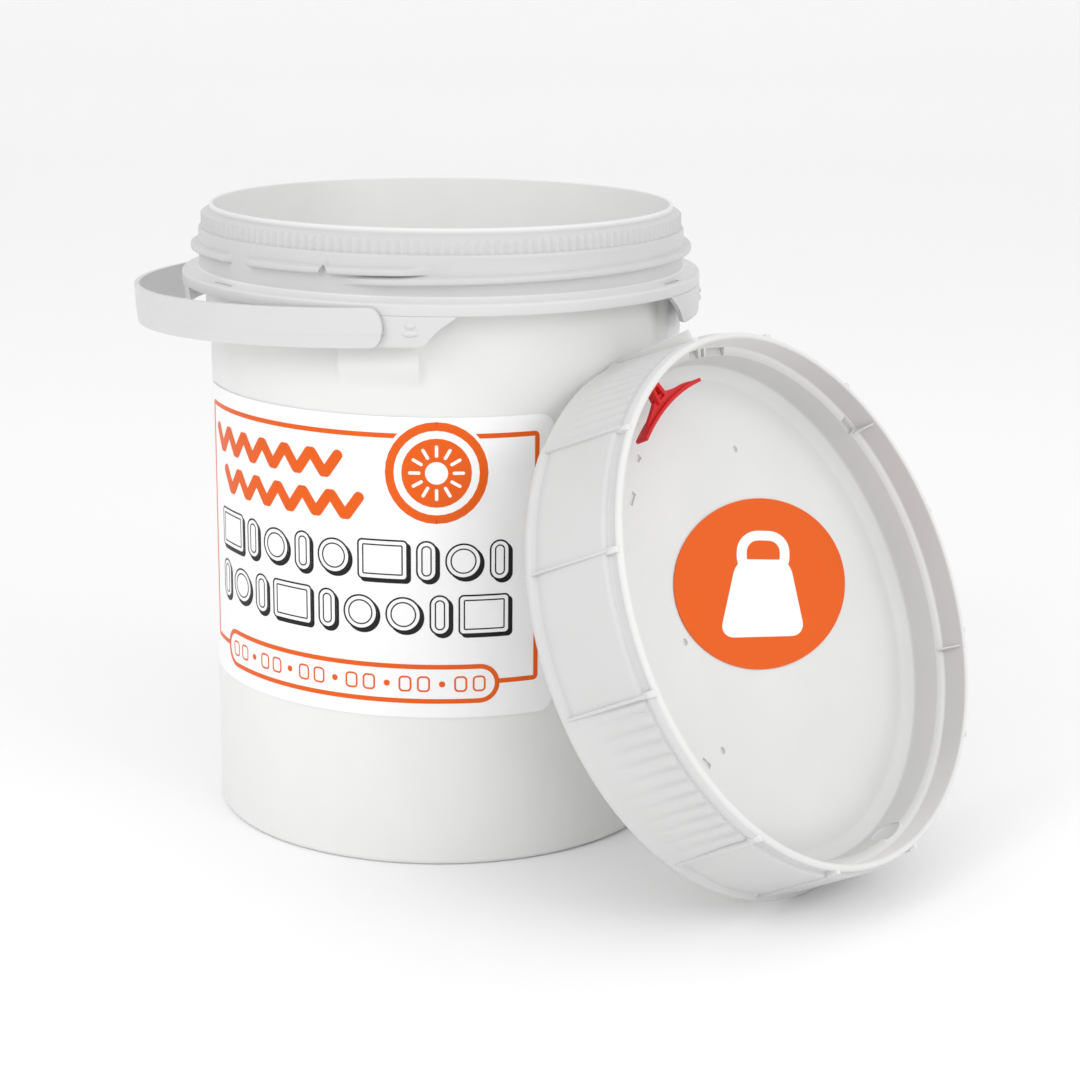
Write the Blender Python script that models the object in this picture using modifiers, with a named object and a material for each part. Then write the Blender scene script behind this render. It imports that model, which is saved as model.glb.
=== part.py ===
"""Open screw-top pail with a swinging carry handle, and its screw lid leaning on its side.

Metres, +Z up. The origin is the centre of the pail's base, on the ground. An azimuth is in
degrees from -Y (the front) towards +X. On the lid, a clock angle is in degrees from the lid's
highest point towards +X, and a depth is measured from the plane of its open rim.
"""

import math

import bmesh
import bpy
from mathutils import Matrix, Vector

MM = 0.001
GAP = 0.3 * MM
CLOSE = 0.05 * MM

# Pail: body, neck and collar
PAIL_SEGMENTS = 84
PAIL_HEIGHT = 375.5 * MM
BORE_RADIUS = 138.2 * MM
WALL_RADIUS = 141.0 * MM
FLOOR_THICKNESS = 3.0 * MM
FOOT_ROUND = 4.0 * MM
LIP_ROUND = 1.4 * MM
LIP_INNER_ROUND = 0.8 * MM
LIP_RADIUS = 140.4 * MM
NOTCH_HEIGHT = 372.0 * MM
TEETH_RADIUS = 145.6 * MM
TEETH_TOP = 369.4 * MM
TEETH_BOTTOM = 361.8 * MM
TEETH_DEPTH = 0.9 * MM
TEETH_SHOULDER = 1.2 * MM
BEAD_RADIUS = 146.8 * MM
NECK_RADIUS = 147.2 * MM
COLLAR_RADIUS = 157.4 * MM
COLLAR_TOP = 337.9 * MM
COLLAR_FALL = 2.0 * MM
COLLAR_ROUND = 1.5 * MM
COLLAR_FILLET = 1.5 * MM
SKIRT_BOTTOM = 329.0 * MM
SKIRT_THICKNESS = 2.6 * MM
COLLAR_THICKNESS = 3.0 * MM

# Pail: the two threads, each in a long lower part and a short upper part
THREAD_RADIUS = 151.9 * MM
THREAD_START = -22.7
THREAD_LOWER_END = 150.4
THREAD_UPPER_START = 156.6
THREAD_UPPER_END = 203.2
THREAD_LOW = 345.3 * MM
THREAD_RISE = 6.8 * MM
THREAD_EASE = 0.6
THREAD_BASE = 3.3 * MM
THREAD_CREST = 1.2 * MM
THREAD_CLEARANCE = 0.3 * MM
# Heights on the plain neck of the rings that become the lower and the upper thread
LOWER_RINGS = (342.0 * MM, 343.2 * MM, 344.4 * MM, 345.6 * MM)
UPPER_RINGS = (356.4 * MM, 357.2 * MM, 358.0 * MM, 358.8 * MM)

# Pail: the four ears under the collar, two of which carry the handle
EAR_AZIMUTH = -12.0
EAR_COUNT = 4
EAR_SEGMENTS = 8
EAR_BOTTOM = 311.2 * MM
EAR_CORNER = 2.4 * MM
EAR_NARROWING = 0.62
EAR_CORNER_NARROWING = 0.52
BOSS_RADIUS = 146.3 * MM
BOSS_HALF_WIDTH = 9.6
BOSS_SHOULDER = 300.0 * MM
BOSS_BOTTOM = 288.0 * MM

# Handle: a flat strap on an elliptical path, on two studs
PIVOT_HEIGHT = 322.5 * MM
STRAP_HEIGHT = 22.4 * MM
STRAP_THICKNESS = 3.0 * MM
HOOP_HALF_WIDTH = 161.2 * MM
HOOP_REACH = 189.4 * MM
HOOP_STEPS = 40
END_REACH = 7.0 * MM
HANDLE_DROOP = 2.67
STUD_RADIUS = 5.0 * MM
STUD_HOLE_RADIUS = 5.5 * MM
STUD_END = 154.7 * MM
STUD_SEGMENTS = 20

# Label on the wall
LABEL_FROM = -77.4
LABEL_TO = 29.3
LABEL_LOW = 92.0 * MM
LABEL_HIGH = 269.5 * MM
LABEL_CORNER = 9.0 * MM
LABEL_THICKNESS = 0.4 * MM
LABEL_GAP = 0.35 * MM
LABEL_STEPS = 26

# Lid: it stands on the edge of its closed end and leans on the pail's wall
LID_SEGMENTS = 72
LID_DEPTH = 64.2 * MM
LID_LEAN = 24.86
LID_HEADING = 51.65
LID_SIDESTEP = 4.9 * MM
LID_WALL_GAP = 0.35 * MM
MOUTH_RADIUS = 152.4 * MM
LEDGE_DEPTH = 15.6 * MM
PLUG_RADIUS = 147.4 * MM
PANEL_DEPTH = 38.2 * MM
PANEL_RADIUS = 124.0 * MM
PANEL_THICKNESS = 2.4 * MM
CLOSED_RADIUS = 162.8 * MM
CLOSED_ROUND = 3.0 * MM
GRIP_TOP_DEPTH = 16.5 * MM
GRIP_TOP_RADIUS = 157.4 * MM
GRIP_BOTTOM_DEPTH = 54.5 * MM
GRIP_BOTTOM_RADIUS = 160.1 * MM
SKIRT_END_DEPTH = 57.5 * MM
SKIRT_END_RADIUS = 160.5 * MM
HOLLOW_EDGE_RADIUS = 158.2 * MM
HOLLOW_EDGE_DEPTH = 62.4 * MM
HOLLOW_OUTER_RADIUS = 153.4 * MM
HOLLOW_INNER_RADIUS = 150.4 * MM
HOLLOW_TOP_DEPTH = 19.5 * MM
COVE_EDGE_RADIUS = 142.0 * MM
COVE_BACK_DEPTH = 43.2 * MM
COVE_EDGE_DEPTH = 42.6 * MM
# Corners of the lid's section, each with its radius and its depth
COVE_SECTION = ((139.5 * MM, 40.0 * MM), (COVE_EDGE_RADIUS, 39.6 * MM), (147.2 * MM, 34.5 * MM))
PLUG_SECTION = ((PLUG_RADIUS, 18.5 * MM), (148.2 * MM, 16.4 * MM), (151.6 * MM, LEDGE_DEPTH),
                (152.2 * MM, 14.6 * MM))
RIM_SECTION = ((MOUTH_RADIUS, 2.0 * MM), (153.6 * MM, 0.5 * MM), (155.0 * MM, 0.0),
               (155.9 * MM, 1.4 * MM), (156.8 * MM, 3.8 * MM), (156.4 * MM, 7.0 * MM),
               (157.6 * MM, 9.6 * MM))
GRIP_CENTRES = (-117.5, -22.5, 62.5, 152.5)
GRIP_HALF_WIDTH = 17.5
GRIP_CUTS = 2
GRIP_RELIEF = 1.2 * MM
RIDGE_THICKNESS = 2.2 * MM
RIDGE_DEPTHS = (5.0 * MM, 59.0 * MM)
RIDGE_FOOT_RADII = (155.5 * MM, 159.3 * MM)
END_RIDGES = (-135.0, -97.0, -41.5, 46.0, 82.0, 135.0, 171.5)
END_RIDGE_RADII = (159.8 * MM, 162.4 * MM)
MIDDLE_RIDGES = (-159.5, -68.5, 18.5, 110.0)
MIDDLE_RIDGE_RADII = (159.8 * MM, 162.4 * MM)
TOP_RIDGE = -7.0
TOP_RIDGE_RADII = (164.0 * MM, 162.6 * MM)

# Red latch inside the lid's mouth
LATCH_RADIUS = 135.8 * MM
LATCH_THICKNESS = 3.0 * MM
LATCH_FROM = -36.0
LATCH_TO = -6.0
LATCH_TOP_DEPTH = 11.0 * MM
LATCH_HEIGHT = 8.0 * MM
LATCH_STEPS = 8
STEM_CLOCK = -23.0
STEM_END_RADIUS = 151.5 * MM
STEM_INNER_WIDTH = 11.0 * MM
STEM_OUTER_WIDTH = 7.0 * MM
STEM_HEIGHT = 4.0 * MM

# Oval sticker on the lid's panel
STICKER_CENTRE = (15.9 * MM, 14.0 * MM)
STICKER_HALF_LENGTH = 84.1 * MM
STICKER_HALF_WIDTH = 49.4 * MM
STICKER_TURN = -1.1
STICKER_THICKNESS = 0.4 * MM
STICKER_SEGMENTS = 48

# Colours and how rough the surfaces are
PAIL_COLOUR = (0.84, 0.84, 0.82)
LID_COLOUR = (0.86, 0.86, 0.85)
LABEL_COLOUR = (0.9, 0.9, 0.89)
STICKER_COLOUR = (0.82, 0.13, 0.015)
LATCH_COLOUR = (0.72, 0.02, 0.03)
PLASTIC_ROUGHNESS = 0.41
FILM_ROUGHNESS = 0.35


def around(radius, azimuth, height):
    """The point at a radius, an azimuth in degrees and a height on the pail."""
    angle = math.radians(azimuth)
    return Vector((radius * math.sin(angle), -radius * math.cos(angle), height))


def on_lid(radius, clock, depth):
    """The point at a radius, a clock angle in degrees and a depth, in the lid's own space."""
    angle = math.radians(clock)
    return Vector((radius * math.sin(angle), radius * math.cos(angle), LID_DEPTH - depth))


def arc(centre, radius, start, end, steps):
    """Points of an arc from one angle to another, in degrees."""
    points = []
    for step in range(steps + 1):
        angle = math.radians(start + (end - start) * step / steps)
        points.append((centre[0] + radius * math.cos(angle), centre[1] + radius * math.sin(angle)))
    return points


def plastic(name, colour, roughness):
    """A plain plastic material."""
    material = bpy.data.materials.new(name)
    material.use_nodes = True
    shader = material.node_tree.nodes["Principled BSDF"]
    shader.inputs["Base Color"].default_value = (*colour, 1.0)
    shader.inputs["Roughness"].default_value = roughness
    shader.inputs["Metallic"].default_value = 0.0
    return material


def collection(name):
    """A new collection in the scene."""
    group = bpy.data.collections.new(name)
    bpy.context.scene.collection.children.link(group)
    return group


def as_object(name, mesh, group, material=None):
    """An object of a mesh, in a collection."""
    thing = bpy.data.objects.new(name, mesh)
    group.objects.link(thing)
    if material:
        mesh.materials.append(material)
    return thing


def settle(thing):
    """Apply the object's modifiers to its mesh."""
    bpy.context.view_layer.update()
    evaluated = thing.evaluated_get(bpy.context.evaluated_depsgraph_get())
    mesh = bpy.data.meshes.new_from_object(evaluated)
    thing.modifiers.clear()
    thing.data = mesh


def turned(name, profile, segments, group, material):
    """A turned solid from a profile of radius and height that runs down its outer side."""
    mesh = bpy.data.meshes.new(name)
    vertices = [(radius, 0.0, height) for radius, height in profile]
    mesh.from_pydata(vertices, [(i, i + 1) for i in range(len(profile) - 1)], [])
    thing = as_object(name, mesh, group, material)
    screw = thing.modifiers.new("turn", "SCREW")
    screw.steps = segments
    screw.render_steps = segments
    screw.use_merge_vertices = True
    screw.merge_threshold = 0.00001
    settle(thing)
    return thing


def curved_sheet(name, columns, thickness, group, material):
    """A sheet through pairs of low and high points, thickened evenly to both sides."""
    sheet = bmesh.new()
    pairs = [(sheet.verts.new(low), sheet.verts.new(high)) for low, high in columns]
    for (low, high), (next_low, next_high) in zip(pairs, pairs[1:]):
        sheet.faces.new((low, next_low, next_high, high))
    mesh = bpy.data.meshes.new(name)
    sheet.to_mesh(mesh)
    sheet.free()
    thing = as_object(name, mesh, group, material)
    solidify = thing.modifiers.new("thickness", "SOLIDIFY")
    solidify.thickness = thickness
    solidify.offset = 0.0
    return thing


def rounded_columns(place, start, end, low, high, corner, steps, corner_steps=4):
    """Columns of a band with rounded corners; place(length, height) gives the point."""
    lengths = []
    for step in range(corner_steps):
        lengths.append(start + corner * (1.0 - math.cos(0.5 * math.pi * step / corner_steps)))
    for step in range(steps + 1):
        lengths.append(start + corner + (end - start - 2.0 * corner) * step / steps)
    for step in reversed(range(corner_steps)):
        lengths.append(end - corner * (1.0 - math.cos(0.5 * math.pi * step / corner_steps)))
    columns = []
    for length in lengths:
        into = min(length - start, end - length, corner)
        cut = corner - math.sqrt(max(corner**2 - (corner - into)**2, (0.15 * corner)**2))
        columns.append((place(length, low + cut), place(length, high - cut)))
    return columns


def ring(shape, radius, height, sag=CLOSE):
    """The vertices of a turned shape at a height, and at a radius or a little less."""
    return [v for v in shape.verts
            if abs(v.co.z - height) < CLOSE and -sag < v.co.xy.length - radius < CLOSE]


def split_rings(shape, rings, cuts, wanted=None):
    """Cut the edges of rings, given by radius and height, and return all their vertices."""
    edges = []
    for radius, height in rings:
        members = set(ring(shape, radius, height))
        edges += [e for e in shape.edges if e.verts[0] in members and e.verts[1] in members]
    if wanted:
        edges = [e for e in edges if wanted((e.verts[0].co + e.verts[1].co) / 2)]
    bmesh.ops.subdivide_edges(shape, edges=edges, cuts=cuts, use_grid_fill=True)
    return [v for radius, height in rings for v in ring(shape, radius, height, 0.3 * MM)]


def set_radius(vertex, radius):
    """Move a vertex straight in or out to a radius."""
    vertex.co.xy = vertex.co.xy.normalized() * radius


def azimuth_of(point):
    """The azimuth of a point, in degrees."""
    return math.degrees(math.atan2(point.x, -point.y))


def clock_of(point):
    """The clock angle of a point on the lid, in degrees."""
    return math.degrees(math.atan2(point.x, point.y))


def cylinder(name, radius, start, end, segments, group):
    """A cylinder between two points."""
    shape = bmesh.new()
    length = (end - start).length
    bmesh.ops.create_cone(shape, cap_ends=True, segments=segments, radius1=radius,
                          radius2=radius, depth=length)
    turn = (end - start).to_track_quat("Z", "Y").to_matrix().to_4x4()
    bmesh.ops.transform(shape, matrix=Matrix.Translation((start + end) / 2) @ turn,
                        verts=shape.verts)
    mesh = bpy.data.meshes.new(name)
    shape.to_mesh(mesh)
    shape.free()
    return as_object(name, mesh, group)


def combine(thing, others, operation):
    """Join other objects into a solid, or cut them out of it, and remove them."""
    group = bpy.data.collections.new("operands")
    for other in others:
        group.objects.link(other)
    boolean = thing.modifiers.new("combine", "BOOLEAN")
    boolean.operation = operation
    boolean.operand_type = "COLLECTION"
    boolean.collection = group
    settle(thing)
    for other in others:
        bpy.data.objects.remove(other)
    bpy.data.collections.remove(group)


def thread_height(turned_by):
    """The height of a thread's crest, after turning by some degrees from its start."""
    return THREAD_LOW + THREAD_RISE * (max(turned_by, 0.0) / THREAD_UPPER_END)**THREAD_EASE


def pail_profile():
    """The pail's section, from the middle of its floor over the lip and down to its base."""
    lower, upper = LOWER_RINGS, UPPER_RINGS
    skirt_inside = COLLAR_RADIUS - SKIRT_THICKNESS
    pocket_top = COLLAR_TOP - COLLAR_FALL - COLLAR_THICKNESS
    inside_corner = 2.0 * FOOT_ROUND
    points = [(0.0, FLOOR_THICKNESS), (BORE_RADIUS - inside_corner, FLOOR_THICKNESS)]
    points += [(BORE_RADIUS, FLOOR_THICKNESS + inside_corner)]
    points += [(BORE_RADIUS, PAIL_HEIGHT - LIP_ROUND)]
    points += [(BORE_RADIUS + LIP_INNER_ROUND, PAIL_HEIGHT)]
    points += arc((LIP_RADIUS - LIP_ROUND, PAIL_HEIGHT - LIP_ROUND), LIP_ROUND, 60.0, 0.0, 1)
    points += [(LIP_RADIUS, NOTCH_HEIGHT)]
    points += [(TEETH_RADIUS - TEETH_SHOULDER, TEETH_TOP + TEETH_SHOULDER)]
    points += [(TEETH_RADIUS, TEETH_TOP), (TEETH_RADIUS, TEETH_BOTTOM)]
    points += [(BEAD_RADIUS, (TEETH_BOTTOM + upper[-1]) / 2)]
    points += [(NECK_RADIUS, upper[-1] + THREAD_CLEARANCE)]
    points += [(NECK_RADIUS, height) for height in reversed(upper)]
    points += [(NECK_RADIUS, height) for height in reversed(lower)]
    points += [(NECK_RADIUS, COLLAR_TOP + COLLAR_FILLET)]
    points += [(NECK_RADIUS + COLLAR_FILLET, COLLAR_TOP)]
    points += arc((COLLAR_RADIUS - COLLAR_ROUND, COLLAR_TOP - COLLAR_FALL - COLLAR_ROUND),
                  COLLAR_ROUND, 80.0, 0.0, 2)
    points += [(COLLAR_RADIUS, SKIRT_BOTTOM), (skirt_inside, SKIRT_BOTTOM)]
    points += [(skirt_inside, pocket_top), (WALL_RADIUS + COLLAR_FILLET, pocket_top)]
    points += [(WALL_RADIUS, pocket_top - COLLAR_FILLET), (WALL_RADIUS, BOSS_SHOULDER)]
    points += [(WALL_RADIUS, BOSS_BOTTOM), (WALL_RADIUS, FOOT_ROUND)]
    points += arc((WALL_RADIUS - FOOT_ROUND, FOOT_ROUND), FOOT_ROUND, -35.0, -90.0, 2)
    points += [(0.0, 0.0)]
    return points


def wind_threads(shape):
    """Move the neck's spare rings into the ridges of the two threads."""
    lower, upper = LOWER_RINGS, UPPER_RINGS
    offsets = (-THREAD_BASE, -THREAD_CREST, THREAD_CREST, THREAD_BASE)
    radii = (NECK_RADIUS, THREAD_RADIUS, THREAD_RADIUS, NECK_RADIUS)
    slack = 90.0 / PAIL_SEGMENTS
    rings = {height: ring(shape, NECK_RADIUS, height) for height in lower + upper}
    for place in range(len(offsets)):
        for vertex in rings[lower[place]]:
            since = (azimuth_of(vertex.co) - THREAD_START) % 180.0
            if since <= THREAD_LOWER_END + slack:
                vertex.co.z = thread_height(since) + offsets[place]
                set_radius(vertex, radii[place])
        for vertex in rings[upper[place]]:
            since = (azimuth_of(vertex.co) - THREAD_START) % 180.0
            late = since + 180.0
            second = since >= THREAD_UPPER_START - slack
            first = late <= THREAD_UPPER_END + slack
            follows = THREAD_LOWER_END < since < THREAD_UPPER_START
            if first or second or follows:
                crest = thread_height(late if first else since)
                floor = thread_height(since) + THREAD_BASE + THREAD_CLEARANCE * (1.0 + place / 3)
                vertex.co.z = crest + offsets[place]
                if first:
                    vertex.co.z = max(vertex.co.z, floor)
                if not follows:
                    set_radius(vertex, radii[place])


def cut_teeth(shape):
    """Turn the band below the lip into upright teeth, two to a segment."""
    rings = ((TEETH_RADIUS, TEETH_TOP), (TEETH_RADIUS, TEETH_BOTTOM))
    step = 90.0 / PAIL_SEGMENTS
    for vertex in split_rings(shape, rings, 3):
        place = round((azimuth_of(vertex.co) - EAR_AZIMUTH) / step)
        set_radius(vertex, TEETH_RADIUS - (TEETH_DEPTH if place % 2 else 0.0))


def swell_bosses(shape):
    """Swell the wall into a flat boss behind each ear."""
    for vertex in shape.verts:
        radius = vertex.co.xy.length
        outside = WALL_RADIUS - CLOSE < radius < WALL_RADIUS + COLLAR_FILLET + CLOSE
        offset = (azimuth_of(vertex.co) - EAR_AZIMUTH + 180.0 / EAR_COUNT) % (360.0 / EAR_COUNT)
        offset -= 180.0 / EAR_COUNT
        high = BOSS_SHOULDER - CLOSE < vertex.co.z < COLLAR_TOP
        if outside and high and abs(offset) < BOSS_HALF_WIDTH:
            set_radius(vertex, radius + BOSS_RADIUS - WALL_RADIUS)


def hang_ears(shape):
    """Extrude the four ears down from the collar's skirt."""
    half = EAR_SEGMENTS * 180.0 / PAIL_SEGMENTS
    levels = ((EAR_BOTTOM + EAR_CORNER, EAR_NARROWING), (EAR_BOTTOM, EAR_CORNER_NARROWING))
    for index in range(EAR_COUNT):
        centre = EAR_AZIMUTH + 360.0 * index / EAR_COUNT

        def from_centre(point, centre=centre):
            return (azimuth_of(point) - centre + 180.0) % 360.0 - 180.0

        faces = []
        for face in shape.faces:
            middle = face.calc_center_median()
            low = all(abs(v.co.z - SKIRT_BOTTOM) < CLOSE for v in face.verts)
            if low and abs(from_centre(middle)) < half:
                faces.append(face)
        for height, narrowing in levels:
            result = bmesh.ops.extrude_face_region(shape, geom=faces)
            bmesh.ops.delete(shape, geom=faces, context="FACES_ONLY")
            faces = [item for item in result["geom"] if isinstance(item, bmesh.types.BMFace)]
            for vertex in {v for face in faces for v in face.verts}:
                radius = vertex.co.xy.length
                share = from_centre(vertex.co) / half
                spread = share * half if height > EAR_BOTTOM else share * half / EAR_NARROWING
                vertex.co = around(radius, centre + spread * narrowing, height)


def build_pail(group, material):
    """The pail, with its threads, teeth, ears and the holes for the handle's studs."""
    pail = turned("pail", pail_profile(), PAIL_SEGMENTS, group, material)
    step = 360.0 / PAIL_SEGMENTS
    pail.data.transform(Matrix.Rotation(math.radians((EAR_AZIMUTH - 90.0) % step), 4, "Z"))
    shape = bmesh.new()
    shape.from_mesh(pail.data)
    wind_threads(shape)
    cut_teeth(shape)
    swell_bosses(shape)
    hang_ears(shape)
    shape.to_mesh(pail.data)
    shape.free()
    holes = []
    for azimuth in (EAR_AZIMUTH, EAR_AZIMUTH + 180.0):
        inner = around(COLLAR_RADIUS - 3.0 * SKIRT_THICKNESS, azimuth, PIVOT_HEIGHT)
        outer = around(COLLAR_RADIUS + SKIRT_THICKNESS, azimuth, PIVOT_HEIGHT)
        holes.append(cylinder("hole", STUD_HOLE_RADIUS, inner, outer, STUD_SEGMENTS, group))
    combine(pail, holes, "DIFFERENCE")
    return pail


def build_handle(group, material):
    """The handle, on an empty whose X axis is the hinge and whose Y axis points at the hoop."""
    pivot = bpy.data.objects.new("handle_pivot", None)
    group.objects.link(pivot)
    pivot.location = (0.0, 0.0, PIVOT_HEIGHT)
    pivot.rotation_euler = (math.radians(-HANDLE_DROOP), 0.0, math.radians(EAR_AZIMUTH + 90.0))
    half_width = HOOP_HALF_WIDTH - STRAP_THICKNESS / 2
    reach = HOOP_REACH - STRAP_THICKNESS / 2
    half_height = STRAP_HEIGHT / 2
    ends = [math.radians(angle) for angle in (80.0, 60.0, 40.0, 20.0)]
    start = [(half_width, -END_REACH * math.sin(a), half_height * math.cos(a)) for a in ends]
    path = []
    for step in range(HOOP_STEPS + 1):
        angle = math.pi * step / HOOP_STEPS
        path.append((half_width * math.cos(angle), reach * math.sin(angle), half_height))
    end = [(-x, y, half) for x, y, half in reversed(start)]
    columns = [((x, y, -half), (x, y, half)) for x, y, half in start + path + end]
    handle = curved_sheet("handle", columns, STRAP_THICKNESS, group, material)
    settle(handle)
    studs = []
    for side in (-1.0, 1.0):
        tip = Vector((side * STUD_END, 0.0, 0.0))
        root = Vector((side * half_width, 0.0, 0.0))
        studs.append(cylinder("stud", STUD_RADIUS, tip, root, STUD_SEGMENTS, group))
    combine(handle, studs, "UNION")
    handle.parent = pivot
    return handle


def build_label(group, material):
    """The label, wrapped on the wall with a hair's gap."""
    radius = WALL_RADIUS + LABEL_GAP + LABEL_THICKNESS / 2
    start = radius * math.radians(LABEL_FROM)
    end = radius * math.radians(LABEL_TO)

    def place(length, height):
        return around(radius, math.degrees(length / radius), height)

    columns = rounded_columns(place, start, end, LABEL_LOW, LABEL_HIGH, LABEL_CORNER, LABEL_STEPS)
    return curved_sheet("label", columns, LABEL_THICKNESS, group, material)


def lid_profile():
    """The lid's section, from the inside of its panel over the rim and down to its closed end."""
    panel_back = PANEL_DEPTH + PANEL_THICKNESS
    mouth = [(0.0, PANEL_DEPTH), (PANEL_RADIUS, PANEL_DEPTH), *COVE_SECTION, *PLUG_SECTION]
    skirt = [(GRIP_TOP_RADIUS, GRIP_TOP_DEPTH), (GRIP_BOTTOM_RADIUS, GRIP_BOTTOM_DEPTH)]
    skirt += [(SKIRT_END_RADIUS, SKIRT_END_DEPTH)]
    edge = arc((CLOSED_RADIUS - CLOSED_ROUND, CLOSED_ROUND), CLOSED_ROUND, 0.0, -90.0, 3)
    back = [(HOLLOW_EDGE_RADIUS, HOLLOW_EDGE_DEPTH), (HOLLOW_OUTER_RADIUS, HOLLOW_TOP_DEPTH)]
    back += [(HOLLOW_INNER_RADIUS, HOLLOW_TOP_DEPTH), (HOLLOW_INNER_RADIUS, COVE_BACK_DEPTH)]
    back += [(COVE_EDGE_RADIUS, COVE_EDGE_DEPTH), (PANEL_RADIUS, panel_back)]
    back += [(0.0, panel_back)]
    points = [(radius, LID_DEPTH - depth) for radius, depth in mouth + list(RIM_SECTION) + skirt]
    return points + edge + [(radius, LID_DEPTH - depth) for radius, depth in back]


def rib_grips(shape):
    """Turn four sections of the lid's skirt into rows of upright grip ribs."""
    rings = ((GRIP_TOP_RADIUS, LID_DEPTH - GRIP_TOP_DEPTH),
             (GRIP_BOTTOM_RADIUS, LID_DEPTH - GRIP_BOTTOM_DEPTH))

    def in_grip(point):
        offsets = [(clock_of(point) - centre + 180.0) % 360.0 - 180.0 for centre in GRIP_CENTRES]
        return min(abs(offset) for offset in offsets) < GRIP_HALF_WIDTH

    step = 360.0 / LID_SEGMENTS / (GRIP_CUTS + 1)
    middle_height = LID_DEPTH - (GRIP_TOP_DEPTH + GRIP_BOTTOM_DEPTH) / 2
    for vertex in split_rings(shape, rings, GRIP_CUTS, in_grip):
        if not in_grip(vertex.co):
            continue
        place = round((clock_of(vertex.co) - GRIP_CENTRES[0] - GRIP_HALF_WIDTH) / step)
        base = GRIP_TOP_RADIUS if vertex.co.z > middle_height else GRIP_BOTTOM_RADIUS
        set_radius(vertex, base + (GRIP_RELIEF if place % 2 else 0.0))


def skirt_ridge(clock, radii, group):
    """A thin plate that stands proud of the skirt along one clock angle."""
    shape = bmesh.new()
    bmesh.ops.create_cube(shape, size=1.0)
    for vertex in shape.verts:
        end = 0 if vertex.co.z > 0.0 else 1
        radius = radii[end] if vertex.co.y > 0.0 else RIDGE_FOOT_RADII[end]
        side = RIDGE_THICKNESS / 2 * (1.0 if vertex.co.x > 0.0 else -1.0)
        vertex.co = Vector((side, radius, LID_DEPTH - RIDGE_DEPTHS[end]))
    bmesh.ops.rotate(shape, matrix=Matrix.Rotation(-math.radians(clock), 3, "Z"),
                     verts=shape.verts)
    mesh = bpy.data.meshes.new("ridge")
    shape.to_mesh(mesh)
    shape.free()
    return as_object("ridge", mesh, group)


def build_lid(group, material, seat):
    """The lid, with grip ribs and thin ridges on its skirt."""
    lid = turned("lid", lid_profile(), LID_SEGMENTS, group, material)
    shape = bmesh.new()
    shape.from_mesh(lid.data)
    rib_grips(shape)
    shape.to_mesh(lid.data)
    shape.free()
    ridges = [skirt_ridge(clock, END_RIDGE_RADII, group) for clock in END_RIDGES]
    ridges += [skirt_ridge(clock, MIDDLE_RIDGE_RADII, group) for clock in MIDDLE_RIDGES]
    ridges.append(skirt_ridge(TOP_RIDGE, TOP_RIDGE_RADII, group))
    combine(lid, ridges, "UNION")
    lid.parent = seat
    return lid


def build_latch(group, material, seat):
    """The red latch: a curved strip on a stem that reaches over the lid's ledge."""
    bottom = LATCH_TOP_DEPTH + LATCH_HEIGHT
    columns = []
    for step in range(LATCH_STEPS + 1):
        clock = LATCH_FROM + (LATCH_TO - LATCH_FROM) * step / LATCH_STEPS
        columns.append((on_lid(LATCH_RADIUS, clock, bottom),
                        on_lid(LATCH_RADIUS, clock, LATCH_TOP_DEPTH)))
    latch = curved_sheet("lid_latch", columns, LATCH_THICKNESS, group, material)
    settle(latch)
    shape = bmesh.new()
    bmesh.ops.create_cube(shape, size=1.0)
    for vertex in shape.verts:
        outer = vertex.co.y > 0.0
        radius = STEM_END_RADIUS if outer else LATCH_RADIUS
        depth = LATCH_TOP_DEPTH if vertex.co.z > 0.0 else LATCH_TOP_DEPTH + STEM_HEIGHT
        width = STEM_OUTER_WIDTH if outer else STEM_INNER_WIDTH
        side = width / 2 * (1.0 if vertex.co.x > 0.0 else -1.0)
        vertex.co = Vector((side, radius, LID_DEPTH - depth))
    bmesh.ops.rotate(shape, matrix=Matrix.Rotation(-math.radians(STEM_CLOCK), 3, "Z"),
                     verts=shape.verts)
    mesh = bpy.data.meshes.new("stem")
    shape.to_mesh(mesh)
    shape.free()
    combine(latch, [as_object("stem", mesh, group)], "UNION")
    latch.parent = seat
    return latch


def build_sticker(group, material, seat):
    """The oval sticker on the inside of the lid's panel."""
    shape = bmesh.new()
    bmesh.ops.create_cone(shape, cap_ends=True, segments=STICKER_SEGMENTS, radius1=1.0,
                          radius2=1.0, depth=1.0)
    bmesh.ops.scale(shape, vec=(STICKER_HALF_LENGTH, STICKER_HALF_WIDTH, STICKER_THICKNESS),
                    verts=shape.verts)
    mesh = bpy.data.meshes.new("lid_sticker")
    shape.to_mesh(mesh)
    shape.free()
    sticker = as_object("lid_sticker", mesh, group, material)
    height = LID_DEPTH - PANEL_DEPTH + GAP + STICKER_THICKNESS / 2
    sticker.location = (*STICKER_CENTRE, height)
    sticker.rotation_euler = (0.0, 0.0, math.radians(STICKER_TURN))
    sticker.parent = seat
    return sticker


def lid_seat(group):
    """An empty at the middle of the lid's closed end, where the leaning lid rests."""
    lean = math.radians(LID_LEAN)
    heading = math.radians(LID_HEADING)
    flat_radius = CLOSED_RADIUS - CLOSED_ROUND
    height = flat_radius * math.cos(lean) + CLOSED_ROUND * (1.0 - math.sin(lean))
    reach = WALL_RADIUS + LID_WALL_GAP + flat_radius * math.sin(lean)
    reach += CLOSED_ROUND * (1.0 - math.cos(lean))
    away = Vector((math.sin(heading), -math.cos(heading), 0.0))
    across = Vector((math.cos(heading), math.sin(heading), 0.0))
    seat = bpy.data.objects.new("lid_seat", None)
    group.objects.link(seat)
    seat.location = away * reach + across * LID_SIDESTEP + Vector((0.0, 0.0, height))
    seat.rotation_euler = (math.pi / 2 - lean, 0.0, heading)
    return seat


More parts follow.
